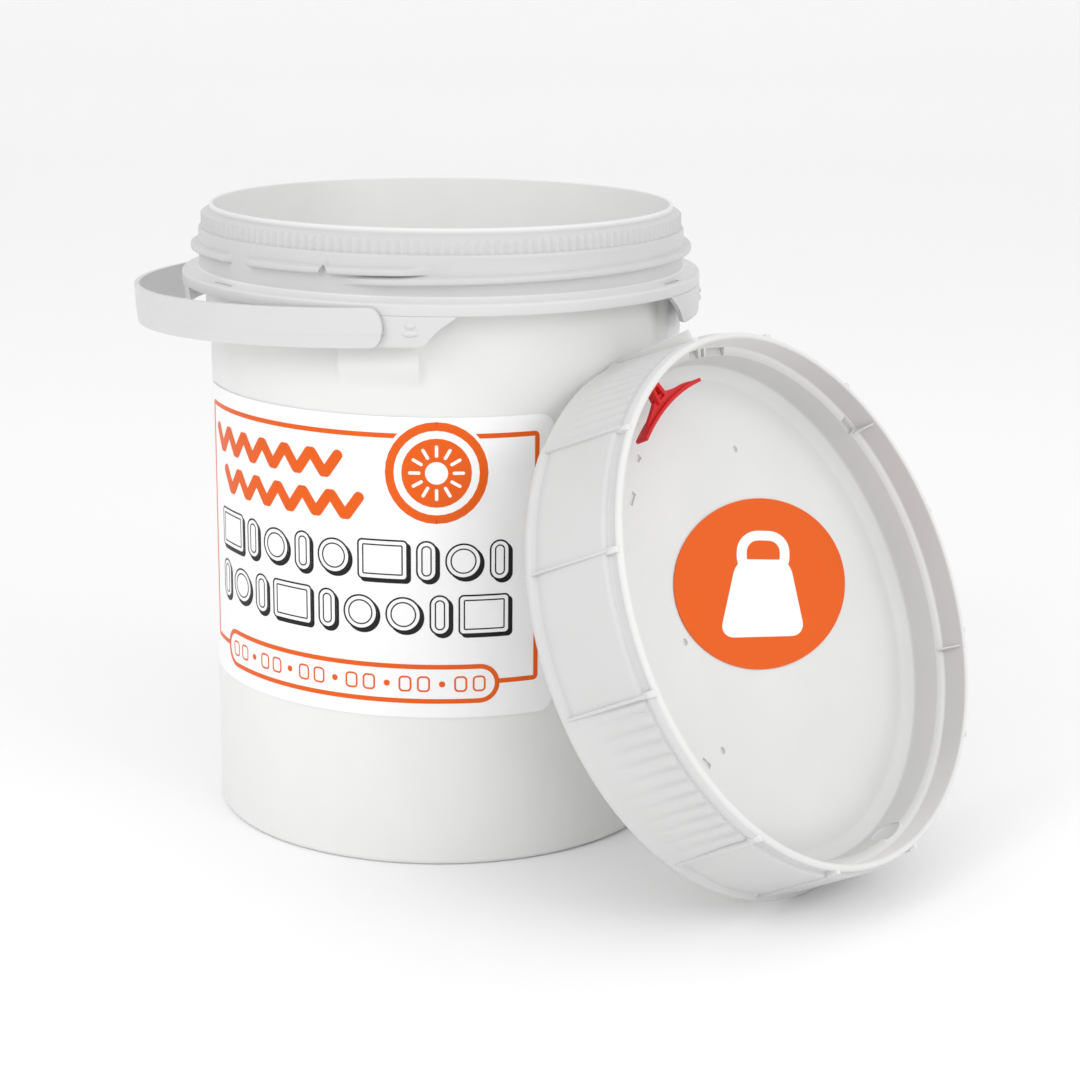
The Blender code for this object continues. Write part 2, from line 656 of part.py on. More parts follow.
def shade(group):
    """Round pieces are shaded smooth, with their corners kept sharp."""
    for thing in group.objects:
        if thing.type == "MESH":
            thing.data.shade_smooth()
            thing.data.set_sharp_from_angle(angle=math.radians(35.0))


def main():
    for thing in list(bpy.data.objects):
        bpy.data.objects.remove(thing)
    group = collection("screw_top_pail")
    white = plastic("white_plastic", PAIL_COLOUR, PLASTIC_ROUGHNESS)
    lid_white = plastic("lid_plastic", LID_COLOUR, PLASTIC_ROUGHNESS)
    paper = plastic("label_paper", LABEL_COLOUR, FILM_ROUGHNESS)
    orange = plastic("sticker_orange", STICKER_COLOUR, FILM_ROUGHNESS)
    red = plastic("red_plastic", LATCH_COLOUR, FILM_ROUGHNESS)
    build_pail(group, white)
    build_handle(group, white)
    build_label(group, paper)
    seat = lid_seat(group)
    build_lid(group, lid_white, seat)
    build_latch(group, red, seat)
    build_sticker(group, orange, seat)
    shade(group)


main()
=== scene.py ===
"""Finish and fine shapes of an open screw-top pail, its swinging handle, its wrapped label and
its leaning lid.

Metres, +Z up. An azimuth is in degrees from -Y (the front) towards +X, round the pail's axis.
In the lid's own space a clock angle is in degrees from its highest point towards +X, and a
depth is measured from the plane of its open rim.
"""

import math

import bpy
import numpy as np
from mathutils import Euler, Matrix, Vector


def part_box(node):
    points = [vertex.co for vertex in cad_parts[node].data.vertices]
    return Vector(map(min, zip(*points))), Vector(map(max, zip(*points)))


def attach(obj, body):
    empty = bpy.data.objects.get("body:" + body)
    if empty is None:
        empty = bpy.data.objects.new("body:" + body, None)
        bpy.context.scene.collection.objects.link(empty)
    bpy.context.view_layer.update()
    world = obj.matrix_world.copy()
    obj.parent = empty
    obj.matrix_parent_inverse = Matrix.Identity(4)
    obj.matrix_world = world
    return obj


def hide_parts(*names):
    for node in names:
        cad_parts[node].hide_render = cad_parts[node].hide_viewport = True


bl_info = {
    "name": "Screw-top pail",
    "version": (1, 0, 0),
    "blender": (4, 5, 0),
    "location": "View3D > Sidebar > Pail",
    "description": "Builds the fine shapes and finishes of a screw-top pail and its lid",
    "category": "Add Mesh",
}

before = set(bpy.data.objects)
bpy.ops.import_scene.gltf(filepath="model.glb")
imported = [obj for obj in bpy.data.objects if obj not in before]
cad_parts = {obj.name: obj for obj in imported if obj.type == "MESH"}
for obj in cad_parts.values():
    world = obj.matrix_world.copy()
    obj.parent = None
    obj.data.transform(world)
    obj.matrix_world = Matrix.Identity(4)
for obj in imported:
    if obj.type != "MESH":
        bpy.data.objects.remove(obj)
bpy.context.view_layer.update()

MM = 0.001
PAIL_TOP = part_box("pail")[1].z
FAR = math.inf

# How close vertices are merged, how close to its place a vertex or a ring is known again, and
# the angles from which plastic and film keep a sharp corner
DOUBLES = 0.001 * MM
NEAR = 0.01 * MM
RING_NEAR = 0.05 * MM
SHARP = 38.0
FILM_SHARP = 40.0

# Pail
WALL_RADIUS = 141.0 * MM
TEETH_RADIUS = 145.6 * MM
TEETH_LEVELS = (361.7 * MM, 369.5 * MM)
NECK_RADIUS = 147.2 * MM
COLLAR_RADIUS = 157.4 * MM
COLLAR_INSIDE = 154.8 * MM
SKIRT_BOTTOM = 329.0 * MM
COLUMNS_PER_TOOTH = 4
EAR_AZIMUTH = -12.0
EAR_PITCH = 90.0
EAR_HALF_WIDTH = 17.5
EAR_MARGIN = 0.2
EAR_BAND = 0.5 * MM
EAR_STEP = 0.1 * MM
# Height of each step down an ear, half its width in degrees and how far its faces draw in
EAR_LEVELS = ((328.0, 17.0, 0.0), (326.0, 16.0, 0.0), (323.0, 14.4, 0.0), (320.0, 13.1, 0.0),
              (317.0, 12.1, 0.0), (314.0, 11.3, 0.0), (312.4, 10.5, 0.0), (311.5, 9.6, 0.25),
              (311.2, 8.9, 0.6))
# Height and half width in millimetres of the two bumps on each ear
BUMPS = ((319.4, 4.9), (323.9, 3.3))
BUMP_DEPTH_AND_HEIGHT = (1.9 * MM, 2.1 * MM)
BUMP_RADIUS = COLLAR_RADIUS - 0.6 * MM
BUMP_TURN = 8.0
BOSS_RADIUS = 146.3 * MM
BOSS_HALF_WIDTH = 10.0
BOSS_LEVELS = (284.5 * MM, 300.0 * MM)
BOSS_BAND = 1.3 * MM
BOSS_TOP = 333.0 * MM
PIVOT_HEIGHT = 322.5 * MM
HOLE_RADIUS = 5.5 * MM
HOLE_ENDS = (150.0 * MM, 162.0 * MM)
SLIT_SIZE = (19.5 * MM, 1.6 * MM, 8.0 * MM)
SLIT_CENTRE = (0.0, -153.0 * MM, 336.5 * MM)
SLIT_AZIMUTHS = (-52.7, 63.5, 127.3, 243.5)

# Threads of the pail
THREAD_START = -22.7
THREAD_LOWER_END = 150.4
THREAD_UPPER_START = 156.6
THREAD_UPPER_END = 203.2
THREAD_LOW = 345.3 * MM
THREAD_RISE = 6.8 * MM
THREAD_EASE = 0.6
THREAD_RELIEF = 4.7 * MM
THREAD_SECTION = ((-3.3, 0.0), (-2.9, 0.05), (-1.9, 0.78), (-1.5, 0.94), (-1.1, 1.0),
                  (1.1, 1.0), (1.5, 0.94), (1.9, 0.78), (2.9, 0.05), (3.3, 0.0))
THREAD_RING_STEP = 0.5 * MM
THREAD_LOWER_RINGS = 341.2 * MM
THREAD_UPPER_RINGS = 354.4 * MM
THREAD_END_TURN = 1.6
THREAD_FADE_IN = 14.0
THREAD_POINT = 8.0
THREAD_PARKING = 6.0
THREAD_RETURN = (175.0, 179.9)
# Heights in millimetres where a thread's rings rest beside it, and their steps
LOWER_PARKED = 340.6
UPPER_PARKED = 358.7
PARKED_STEP = 0.04
RING_GAP = 0.05

# Handle
HANDLE_SPACE = (Matrix.Translation((0.0, 0.0, PIVOT_HEIGHT))
                @ Euler((math.radians(-2.67), 0.0, math.radians(78.0))).to_matrix().to_4x4())
HOOP_HALF_WIDTH = 159.7 * MM
HOOP_REACH = 187.9 * MM
STUD_END = 154.7 * MM
STUD_RADIUS = 5.0 * MM
END_REACH = 7.0 * MM
END_SHARE = 0.055
END_HEIGHT = 0.12
CREASE = 8.0 * MM
CREASE_WIDTH = 0.7 * MM
CREASE_DEPTH = 0.2 * MM
CREASE_SLOPE = 0.4 * MM
STRAP_ROUNDING = 0.7 * MM

# Finish: painted shade, the grey it darkens plastic towards, and its share on the handle and mouth
PAINTED_SHADE_COLOUR = (0.70, 0.70, 0.705)
HANDLE_PAINTED_SHADE = 0.6
MOUTH_PAINTED_SHADE = 0.85

# Label
FILM_RADIUS = 141.55 * MM
LABEL_FROM = -77.4
LABEL_TO = 29.3
LABEL_LOW = 92.0 * MM
LABEL_HIGH = 269.5 * MM
PRINT_LEVEL = 141.82 * MM
PRINT_STEP = 0.05 * MM
PRINT_COLUMN = 4.0 * MM

# Flat shapes of the print, each (width, height, corner), and their places, in millimetres
BORDER = (243.0, 148.0, 3.0)
BORDER_CENTRE = (132.5, 94.0)
BANNER = (196.0, 23.5, 11.7)
BANNER_CENTRE = (132.5, 20.5)
SEAL = (63.0, 63.0, 31.4)
SEAL_RING = (59.0, 59.0, 29.4)
SEAL_DISC = (40.0, 40.0, 19.9)
SEAL_HUB = (13.0, 13.0, 6.4)
SEAL_CENTRE = (194.0, 145.5)
SEAL_LINE = 5.0
RAY = (1.9, 7.0, 0.9)
RAY_REACH = 12.6
RAYS = 12
BAR = (19.0, 6.4, 3.1)
BAR_SLOPE = 54.0
BAR_PITCH = 9.5
BARS = 12
WAVES = ((27.5, 148.0), (40.5, 124.5))
DASH = (7.6, 9.6, 2.6, 1.1)
DOT = (3.6, 3.6, 1.7, 0.0)
DASH_START = 46.5
DASH_PITCH = 10.75
DASHES = 17
# Two rows of shapes: the height of a row's middle and the widths along it
MOTIF_ROWS = ((94.0, (30.0, 12.0, 21.0, 12.0, 21.0, 30.0, 12.0, 21.0, 12.0)),
              (62.0, (12.0, 21.0, 12.0, 30.0, 12.0, 21.0, 21.0, 12.0, 30.0)))
# Height and corner of the shapes of each width
MOTIFS = {12.0: (24.0, 5.9), 21.0: (21.0, 10.4), 30.0: (24.0, 3.0)}
MOTIF_GAP = 4.6
MOTIF_LINE = 1.0
MOTIF_INSET = 3.0
INSET_LINE = 0.8
INSET_CORNER = 1.0
SHADOW_OFFSET = 1.7

# Lid
LID_DEPTH = 64.2 * MM
LID_LEAN = 24.86
LID_HEADING = 51.65
LID_CENTRE = (166.795 * MM, -125.715 * MM, 146.731 * MM)
LID_TURN = Euler((math.radians(90.0 - LID_LEAN), 0.0, math.radians(LID_HEADING)))
LID_SPACE = Matrix.Translation(LID_CENTRE) @ LID_TURN.to_matrix().to_4x4()
PANEL_DEPTH = 38.2 * MM
STICKER_MIDDLE = (15.9 * MM, 14.0 * MM)
STICKER_ACROSS = (79.6 * MM, -17.0 * MM)
STICKER_UP = (27.1 * MM, 46.4 * MM)
STICKER_SIZE = (84.1 * MM, 49.4 * MM, 0.4 * MM)
STICKER_LIFT = 0.5 * MM
STICKER_TURN = -1.1
# The mark's ring and body, each (width, height, corner, line, centre) and drawn a thousandfold
RING = (620.0, 560.0, 250.0, 115.0, (0.0, 330.0))
RING_LIFT = 0.06 * MM
WEIGHT = (1000.0, 900.0, 170.0, 0.0, (0.0, -180.0))
WEIGHT_FOOT = -0.63
WEIGHT_NARROWING = 0.42
MARK_LIFT = 0.78 * MM
MARK_THICKNESS = 0.1 * MM
LID_COLUMNS = 864
GRIPS = ((-135.0, -97.0), (-41.5, -7.0), (46.0, 82.0), (135.0, 171.5))
END_RIDGES = (-135.0, -97.0, -41.5, 46.0, 82.0, 135.0, 171.5)
MIDDLE_RIDGES = (-159.5, -68.5, 18.5, 110.0)
TOP_RIDGE = -7.0
FLAT_GRIP = 1
RIB_SHARPNESS = 2.2
FLATTENING = 1.6 * MM
FLATTENED = (28.0 * MM, 56.0 * MM)
GRIP_EDGE = 0.3
FLAT_EDGE = 4.0
SKIRT_INSIDE = 155.0 * MM
SKIRT_NEAR = 0.02 * MM
# Depth, radius in the plain sections, radius in the ribbed ones and share of the rib's relief
SKIRT_ROWS = ((3.0, 156.4, 156.4, 0.0), (3.8, 155.8, 157.0, 0.0), (4.8, 155.5, 157.5, 0.0),
              (6.6, 155.5, 157.5, 0.0), (7.6, 155.6, 156.8, 0.0), (8.6, 156.0, 156.2, 0.0),
              (9.3, 157.8, 156.9, 0.0), (10.1, 158.3, 157.7, 0.8), (12.0, 158.5, 158.0, 1.0),
              (16.0, 158.7, 158.2, 1.0), (22.0, 158.9, 158.6, 0.95), (28.0, 159.2, 159.1, 0.8),
              (34.0, 159.5, 159.6, 0.6), (40.0, 159.8, 160.2, 0.4), (46.0, 160.1, 160.8, 0.2),
              (51.0, 160.3, 161.2, 0.05), (55.0, 160.5, 161.5, 0.0), (56.0, 160.1, 161.6, 0.0),
              (57.0, 159.9, 161.8, 0.0), (58.0, 160.5, 161.9, 0.0), (59.0, 162.1, 162.1, 0.0),
              (60.0, 162.7, 162.4, 0.0))
# Upright plates on the skirt and in the mouth: name, width, depths of the two ends, radii and
# feet there, rounding and clock angles
PLATES = (("ridge", 2.0, (6.0, 60.5), (159.6, 162.6), (154.5, 159.0), 0.5, END_RIDGES),
          ("ridge", 1.7, (8.0, 63.4), (159.2, 162.9), (154.5, 159.0), 0.4, MIDDLE_RIDGES),
          ("ridge", 2.4, (4.5, 60.0), (163.8, 162.6), (154.5, 159.0), 0.5, (TOP_RIDGE,)),
          ("rim_block", 3.6, (1.0, 9.6), (157.9, 158.4), (153.2, 154.5), 0.5,
           END_RIDGES + MIDDLE_RIDGES + (TOP_RIDGE,)),
          ("web", 0.9, (2.0, 15.8), (152.9, 152.9), (151.2, 147.7), 0.2, (57.0, 114.0)))
# Slots in the ledge, from one clock angle to another
SLOTS = ((-4.0, -0.5), (0.5, 1.6), (2.4, 9.0), (52.5, 56.5))
SLOT_RADII = (147.0 * MM, 151.9 * MM)
SLOT_DEPTHS = (10.0 * MM, 18.8 * MM)
SCOOP_SIZE = (11.0 * MM, 2.7 * MM, 9.5 * MM)
SCOOP_CLOCK = 169.0
SCOOP_RADIUS = 147.4 * MM
SCOOP_DEPTH = 20.5 * MM
# Round dimples in the panel as (radius, clock angle), and short marks with their lengths
DIMPLES = ((98.8, 19.7), (70.6, -91.7), (95.8, -133.0))
DIMPLE_RADIUS = 2.1 * MM
DIMPLE_DEPTHS = (36.0 * MM, 39.8 * MM)
MARKS = ((117.5, -29.0, 4.6), (110.6, -42.0, 8.5), (112.5, -66.0, 5.0), (110.6, -128.0, 7.0))
MARK_HALF_WIDTH = 1.6
MARK_DEPTHS = (36.0 * MM, 39.6 * MM)

# Latch, in millimetres and degrees: a strip, a web with a swelling at its stem, and the stem
# and its pit, each (length, height, centre, widths of the inner and the outer end)
LATCH_CLOCK = -22.5
STRIP_RADIUS = 135.2
STRIP_START = -36.0
STRIP_ANGLE = 30.0
STRIP_DEPTH = 19.0
STRIP_HEIGHT = 8.0
STRIP_THICKNESS = 2.2
STRIP_ROUNDING = 0.5
WEB_START = -34.5
WEB_ANGLE = 27.0
WEB_RADII = (135.6, 138.0)
WEB_DEPTH = 14.0
WEB_SWELLING = 4.5
WEB_SWELLING_ANGLE = 5.0
WEB_TAPER = 1.6
WEB_TAPER_FROM = 0.30
WEB_THICKNESS = 2.6
WEB_ROUNDING = 0.4
STEM = (12.6, 5.5, (145.0, 13.8), (11.0, 7.0))
PIT = (7.0, 6.0, (143.6, 11.6), (6.0, 3.6))

# Studio
FLOOR_REACH = 6.0
FLOOR_BEND = 2.0
FLOOR_SHARP = 60.0
LAMP_SIZE = (1.2, 1.0)
LEFT_LAMP = ((-1.5, -1.5, 1.6), (-0.05, 0.0, 0.2))
RIGHT_LAMP = ((1.6, -1.4, 1.3), (0.17, -0.13, 0.15))
CAMERA_PLACE = (0.0616, -1.4691, 0.5384)
CAMERA_TILT = 75.6637
CAMERA_ROLL = 0.5377
LENS = 80.245


class PailSettings(bpy.types.PropertyGroup):
    """What a user would change on the pail and its handle."""

    teeth: bpy.props.IntProperty(
        name="Teeth", description="Upright teeth round the neck, below the lip",
        default=164, min=20, max=240)
    tooth_depth: bpy.props.FloatProperty(
        name="Tooth depth", description="How deep the gaps between the teeth are",
        default=0.9 * MM, min=0.0, max=3.0 * MM, precision=4, unit="LENGTH")
    strap_height: bpy.props.FloatProperty(
        name="Strap height", description="Height of the handle's strap",
        default=22.4 * MM, min=5.0 * MM, max=40.0 * MM, precision=4, unit="LENGTH")
    strap_thickness: bpy.props.FloatProperty(
        name="Strap thickness", description="Thickness of the handle's strap",
        default=3.0 * MM, min=1.0 * MM, max=6.0 * MM, precision=4, unit="LENGTH")
    colour: bpy.props.FloatVectorProperty(
        name="Plastic", description="Colour of the pail's plastic", subtype="COLOR",
        size=3, min=0.0, max=1.0, default=(0.83, 0.83, 0.825))


class LabelSettings(bpy.types.PropertyGroup):
    """What a user would change on the label."""

    corner: bpy.props.FloatProperty(
        name="Corner", description="Rounding of the label's corners",
        default=9.0 * MM, min=1.0 * MM, max=30.0 * MM, precision=4, unit="LENGTH")
    thickness: bpy.props.FloatProperty(
        name="Thickness", description="Thickness of the label's film",
        default=0.4 * MM, min=0.1 * MM, max=1.0 * MM, precision=4, unit="LENGTH")
    film: bpy.props.FloatVectorProperty(
        name="Film", description="Colour of the label's film", subtype="COLOR",
        size=3, min=0.0, max=1.0, default=(0.95, 0.95, 0.95))
    ink: bpy.props.FloatVectorProperty(
        name="Ink", description="Colour of the label's main print", subtype="COLOR",
        size=3, min=0.0, max=1.0, default=(0.80, 0.115, 0.006))
    shade: bpy.props.FloatVectorProperty(
        name="Dark ink", description="Colour of the label's dark print", subtype="COLOR",
        size=3, min=0.0, max=1.0, default=(0.012, 0.012, 0.014))
    line: bpy.props.FloatProperty(
        name="Line", description="Width of the print's bold lines",
        default=2.8 * MM, min=0.5 * MM, max=8.0 * MM, precision=4, unit="LENGTH")


class LidSettings(bpy.types.PropertyGroup):
    """What a user would change on the lid, its latch and its sticker."""

    ribs: bpy.props.IntProperty(
        name="Ribs", description="Grip ribs in each of the four ribbed sections",
        default=12, min=2, max=30)
    rib_relief: bpy.props.FloatProperty(
        name="Rib relief", description="How deep the gaps between the grip ribs are",
        default=1.7 * MM, min=0.0, max=3.0 * MM, precision=4, unit="LENGTH")
    colour: bpy.props.FloatVectorProperty(
        name="Plastic", description="Colour of the lid's plastic", subtype="COLOR",
        size=3, min=0.0, max=1.0, default=(0.76, 0.76, 0.755))
    latch: bpy.props.FloatVectorProperty(
        name="Latch", description="Colour of the latch's plastic", subtype="COLOR",
        size=3, min=0.0, max=1.0, default=(0.66, 0.008, 0.01))
    sticker: bpy.props.FloatVectorProperty(
        name="Sticker", description="Colour of the oval sticker", subtype="COLOR",
        size=3, min=0.0, max=1.0, default=(0.80, 0.115, 0.006))
    mark: bpy.props.FloatVectorProperty(
        name="Mark", description="Colour of the sticker's mark", subtype="COLOR",
        size=3, min=0.0, max=1.0, default=(0.95, 0.95, 0.95))


class StudioSettings(bpy.types.PropertyGroup):
    """What a user would change on the floor and the light."""

    floor: bpy.props.FloatVectorProperty(
        name="Floor", description="Colour of the floor and the backdrop", subtype="COLOR",
        size=3, min=0.0, max=1.0, default=(0.96, 0.96, 0.96))
    sky: bpy.props.FloatProperty(
        name="Sky", description="Strength of the even light from all sides",
        default=0.66, min=0.0, max=5.0)
    top: bpy.props.FloatProperty(
        name="Top light", description="Extra strength of the sky overhead",
        default=0.30, min=0.0, max=5.0)
    front: bpy.props.FloatProperty(
        name="Front light", description="Extra strength of the sky behind the camera",
        default=0.30, min=0.0, max=5.0)
    left: bpy.props.FloatProperty(
        name="Left lamp", description="Power of the soft lamp on the left", default=10.0,
        min=0.0, max=500.0, unit="POWER")
    right: bpy.props.FloatProperty(
        name="Right lamp", description="Power of the soft lamp on the right", default=9.0,
        min=0.0, max=500.0, unit="POWER")


# Editing, as by hand


def deselect_all():
    """Leave no object selected."""
    bpy.ops.object.select_all(action="DESELECT")


def pick(piece):
    """Make one object the only selected and the active one."""
    deselect_all()
    piece.select_set(True)
    bpy.context.view_layer.objects.active = piece


def add_mesh(name, operator, **values):
    """A new mesh made by an operator, as the only selected object."""
    deselect_all()
    operator(**values)
    piece = bpy.context.object
    piece.name = name
    return piece


def edit(piece):
    """Start editing a piece with all of it selected."""
    pick(piece)
    bpy.ops.object.mode_set(mode="EDIT")
    bpy.ops.mesh.select_all(action="SELECT")


def choose(piece, flags, kind):
    """Start editing a piece with only the vertices, edges or faces selected that flags name."""
    pick(piece)
    kinds = ("VERT", "EDGE", "FACE")
    parts = (piece.data.vertices, piece.data.edges, piece.data.polygons)
    for part in parts:
        part.foreach_set("select", np.zeros(len(part), bool))
    parts[kinds.index(kind)].foreach_set("select", np.asarray(flags, bool))
    bpy.context.tool_settings.mesh_select_mode = [kind == name for name in kinds]
    bpy.ops.object.mode_set(mode="EDIT")


def stop_editing():
    """Return to object mode."""
    bpy.ops.object.mode_set(mode="OBJECT")


def points_of(piece):
    """The places of a piece's vertices, one row each."""
    places = np.empty(len(piece.data.vertices) * 3, np.float32)
    piece.data.vertices.foreach_get("co", places)
    return places.reshape(-1, 3).astype(float)


def set_points(piece, places):
    """Move a piece's vertices to new places."""
    piece.data.vertices.foreach_set("co", np.asarray(places, np.float32).ravel())
    piece.data.update()


def polar(places):
    """Radius, azimuth in degrees and height of places round the Z axis."""
    radius = np.hypot(places[:, 0], places[:, 1])
    return radius, np.degrees(np.arctan2(places[:, 0], -places[:, 1])), places[:, 2].copy()


def from_polar(radius, azimuth, height):
    """Places from their radius, azimuth in degrees and height."""
    angle = np.radians(azimuth)
    height = np.broadcast_to(height, np.shape(radius * angle))
    return np.column_stack((radius * np.sin(angle), -radius * np.cos(angle), height))


def smooth_step(low, high, value):
    """0 below low, 1 above high and an even bend between them."""
    share = np.clip((value - low) / (high - low), 0.0, 1.0)
    return share * share * (3.0 - 2.0 * share)


def face_outwards(piece, merge=False):
    """Turn a piece's faces outwards, after merging its doubles where asked."""
    edit(piece)
    if merge:
        bpy.ops.mesh.remove_doubles(threshold=DOUBLES)
    bpy.ops.mesh.normals_make_consistent(inside=False)
    bpy.ops.mesh.select_all(action="DESELECT")
    stop_editing()


def smooth(piece, angle=SHARP):
    """Shade smooth, with corners sharper than an angle in degrees kept."""
    pick(piece)
    bpy.ops.object.shade_smooth_by_angle(angle=math.radians(angle))


def finish_mesh(piece, angle=SHARP):
    """Merge doubles, turn the faces outwards and shade smooth, with sharp corners kept."""
    face_outwards(piece, merge=True)
    smooth(piece, angle)


def draw(name, points):
    """A chain of vertices through points in the XZ plane, extruded from one to the next."""
    piece = add_mesh(name, bpy.ops.mesh.primitive_plane_add, size=MM)
    bpy.context.tool_settings.mesh_select_mode = (True, False, False)
    edit(piece)
    bpy.ops.mesh.merge(type="CENTER")
    bpy.ops.transform.translate(value=(points[0][0], 0.0, points[0][1]))
    for here, there in zip(points, points[1:]):
        move = {"value": (there[0] - here[0], 0.0, there[1] - here[1])}
        bpy.ops.mesh.extrude_vertices_move(TRANSFORM_OT_translate=move)
    stop_editing()
    return piece


def soften(corners):
    """A section through corners, each (radius, height, rounding), with arcs for the rounded."""
    points = []
    for index, (across, up, rounding) in enumerate(corners):
        here = Vector((across, up))
        if not rounding:
            points.append(here)
            continue
        back = (Vector(corners[index - 1][:2]) - here).normalized()
        ahead = (Vector(corners[index + 1][:2]) - here).normalized()
        half = back.angle(ahead) / 2.0
        centre = here + (back + ahead).normalized() * rounding / math.sin(half)
        first = here + back * rounding / math.tan(half) - centre
        last = here + ahead * rounding / math.tan(half) - centre
        start = math.atan2(first.y, first.x)
        turn = (math.atan2(last.y, last.x) - start + math.pi) % (2.0 * math.pi) - math.pi
        steps = max(2, round(abs(turn) / math.radians(22.0)))
        for step in range(steps + 1):
            angle = start + turn * step / steps
            points.append(centre + rounding * Vector((math.cos(angle), math.sin(angle))))
    return points


def in_metres(corners):
    """Corners given in millimetres, in metres."""
    return [tuple(value * MM for value in corner) for corner in corners]


def lathe(name, points, steps):
    """A closed turned body: a drawn section, turned round the Z axis."""
    piece = draw(name, points)
    add_modifier(piece, "turn", "SCREW", steps=steps, render_steps=steps, use_merge_vertices=True,
                 merge_threshold=DOUBLES, use_smooth_shade=False)
    face_outwards(piece)
    return piece


def apply_place(piece):
    """Put a piece's place, turn and size into its mesh."""
    pick(piece)
    bpy.ops.object.transform_apply(location=True, rotation=True, scale=True)


def turn(piece, degrees, centre=(0.0, 0.0, 0.0)):
    """Turn a piece round the Z axis, then move it to a centre, and settle it there."""
    piece.rotation_euler = (0.0, 0.0, math.radians(degrees))
    piece.location = centre
    apply_place(piece)


def put(piece, space):
    """Move a piece from its own space into the shared frame and settle it there."""
    piece.matrix_world = space @ piece.matrix_world
    apply_place(piece)


def add_modifier(piece, name, kind, **values):
    """Add a modifier with values and apply it."""
    pick(piece)
    modifier = piece.modifiers.new(name, kind)
    for key, value in values.items():
        setattr(modifier, key, value)
    bpy.ops.object.modifier_apply(modifier=name)


def thicken(piece, thickness):
    """Give a sheet a thickness, half of it on either side."""
    add_modifier(piece, "thickness", "SOLIDIFY", thickness=thickness, offset=0.0)


def bevel_all(piece, width, segments, angle=40.0):
    """Round a piece's sharp edges."""
    add_modifier(piece, "round", "BEVEL", width=width, segments=segments,
                 limit_method="ANGLE", angle_limit=math.radians(angle))


def cut_out(piece, cutters):
    """Cut other pieces out of a piece, all at once, and remove them."""
    group = bpy.data.collections.new("cutters")
    for cutter in cutters:
        group.objects.link(cutter)
    add_modifier(piece, "cut", "BOOLEAN", operation="DIFFERENCE", operand_type="COLLECTION",
                 collection=group, solver="MANIFOLD")
    for cutter in cutters:
        bpy.data.objects.remove(cutter)
    bpy.data.collections.remove(group)


def join(pieces, name):
    """Join pieces into the first one."""
    deselect_all()
    for piece in pieces:
        piece.select_set(True)
    bpy.context.view_layer.objects.active = pieces[0]
    if len(pieces) > 1:
        bpy.ops.object.join()
    pieces[0].name = name
    return pieces[0]


def block(name, size, centre):
    """A block of a size, round a centre, with its place in its mesh."""
    piece = add_mesh(name, bpy.ops.mesh.primitive_cube_add, size=1.0, location=centre)
    piece.scale = size
    apply_place(piece)
    return piece


def rod(name, radius, start, end, sides):
    """A rod from one point to another, with its place in its mesh."""
    start, end = Vector(start), Vector(end)
    piece = add_mesh(name, bpy.ops.mesh.primitive_cylinder_add, vertices=sides, radius=radius,
                     depth=(end - start).length, location=(start + end) / 2.0)
    piece.rotation_euler = (end - start).to_track_quat("Z", "Y").to_euler()
    apply_place(piece)
    return piece


def dome(name, size, centre, azimuth):
    """An oval ball, with its half sizes across, inwards and up, facing an azimuth."""
    piece = add_mesh(name, bpy.ops.mesh.primitive_uv_sphere_add, segments=32, ring_count=16,
                     radius=1.0)
    piece.scale = size
    turn(piece, azimuth, centre)
    return piece


# Finishes


def new_material(name):
    """A material with nodes, and its shader."""
    material = bpy.data.materials.new(name)
    material.use_nodes = True
    return material, material.node_tree.nodes["Principled BSDF"]


def add_node(owner, kind, values=None):
    """A new node of a material or world, with values for some of its inputs."""
    node = owner.node_tree.nodes.new(kind)
    for name, value in (values or {}).items():
        node.inputs[name].default_value = value
    return node


def noise(material, scale, detail=2.0, roughness=0.5):
    """A noise node on the object's own coordinates."""
    place = add_node(material, "ShaderNodeTexCoord")
    node = add_node(material, "ShaderNodeTexNoise",
                    {"Scale": scale, "Detail": detail, "Roughness": roughness})
    material.node_tree.links.new(place.outputs["Object"], node.inputs["Vector"])
    return node


def spread(owner, source, start, end, low, high):
    """A source's range from start to end, spread from low to high."""
    node = add_node(owner, "ShaderNodeMapRange",
                    {"From Min": start, "From Max": end, "To Min": low, "To Max": high})
    owner.node_tree.links.new(source, node.inputs["Value"])
    return node.outputs["Result"]


def vary(material, source, low, high):
    """Spread a noise's middle range from low to high."""
    return spread(material, source.outputs["Fac"], 0.3, 0.7, low, high)


def tint(material, source, colour, darker):
    """A colour that a noise takes down to a darker share of it here and there."""
    mix = add_node(material, "ShaderNodeMix")
    mix.data_type = "RGBA"
    mix.inputs["A"].default_value = (*[value * darker for value in colour], 1.0)
    mix.inputs["B"].default_value = (*colour, 1.0)
    material.node_tree.links.new(vary(material, source, 0.0, 1.0), mix.inputs["Factor"])
    return mix.outputs["Result"]


def bump(material, source, strength):
    """A fine bump from a noise, for a shader's normal."""
    node = add_node(material, "ShaderNodeBump", {"Strength": strength, "Distance": 0.1 * MM})
    material.node_tree.links.new(source.outputs["Fac"], node.inputs["Height"])
    return node.outputs["Normal"]


def painted_shade_share(radius, level, zones):
    """The share of painted shade at some places, by zones of (radii, levels, share) in millimetres,
    of which a later one overrules."""
    share = np.zeros(len(radius))
    for (inner, outer), (low, high), value in zones:
        inside = (radius > inner * MM) & (radius < outer * MM)
        inside &= (level > low * MM) & (level < high * MM)
        share = np.where(inside, value, share)
    return share


def mark_painted_shade(piece, share):
    """Note on each vertex how much painted shade darkens its plastic."""
    layer = piece.data.attributes.new("painted_shade", "FLOAT", "POINT")
    layer.data.foreach_set("value", np.asarray(share, np.float32))


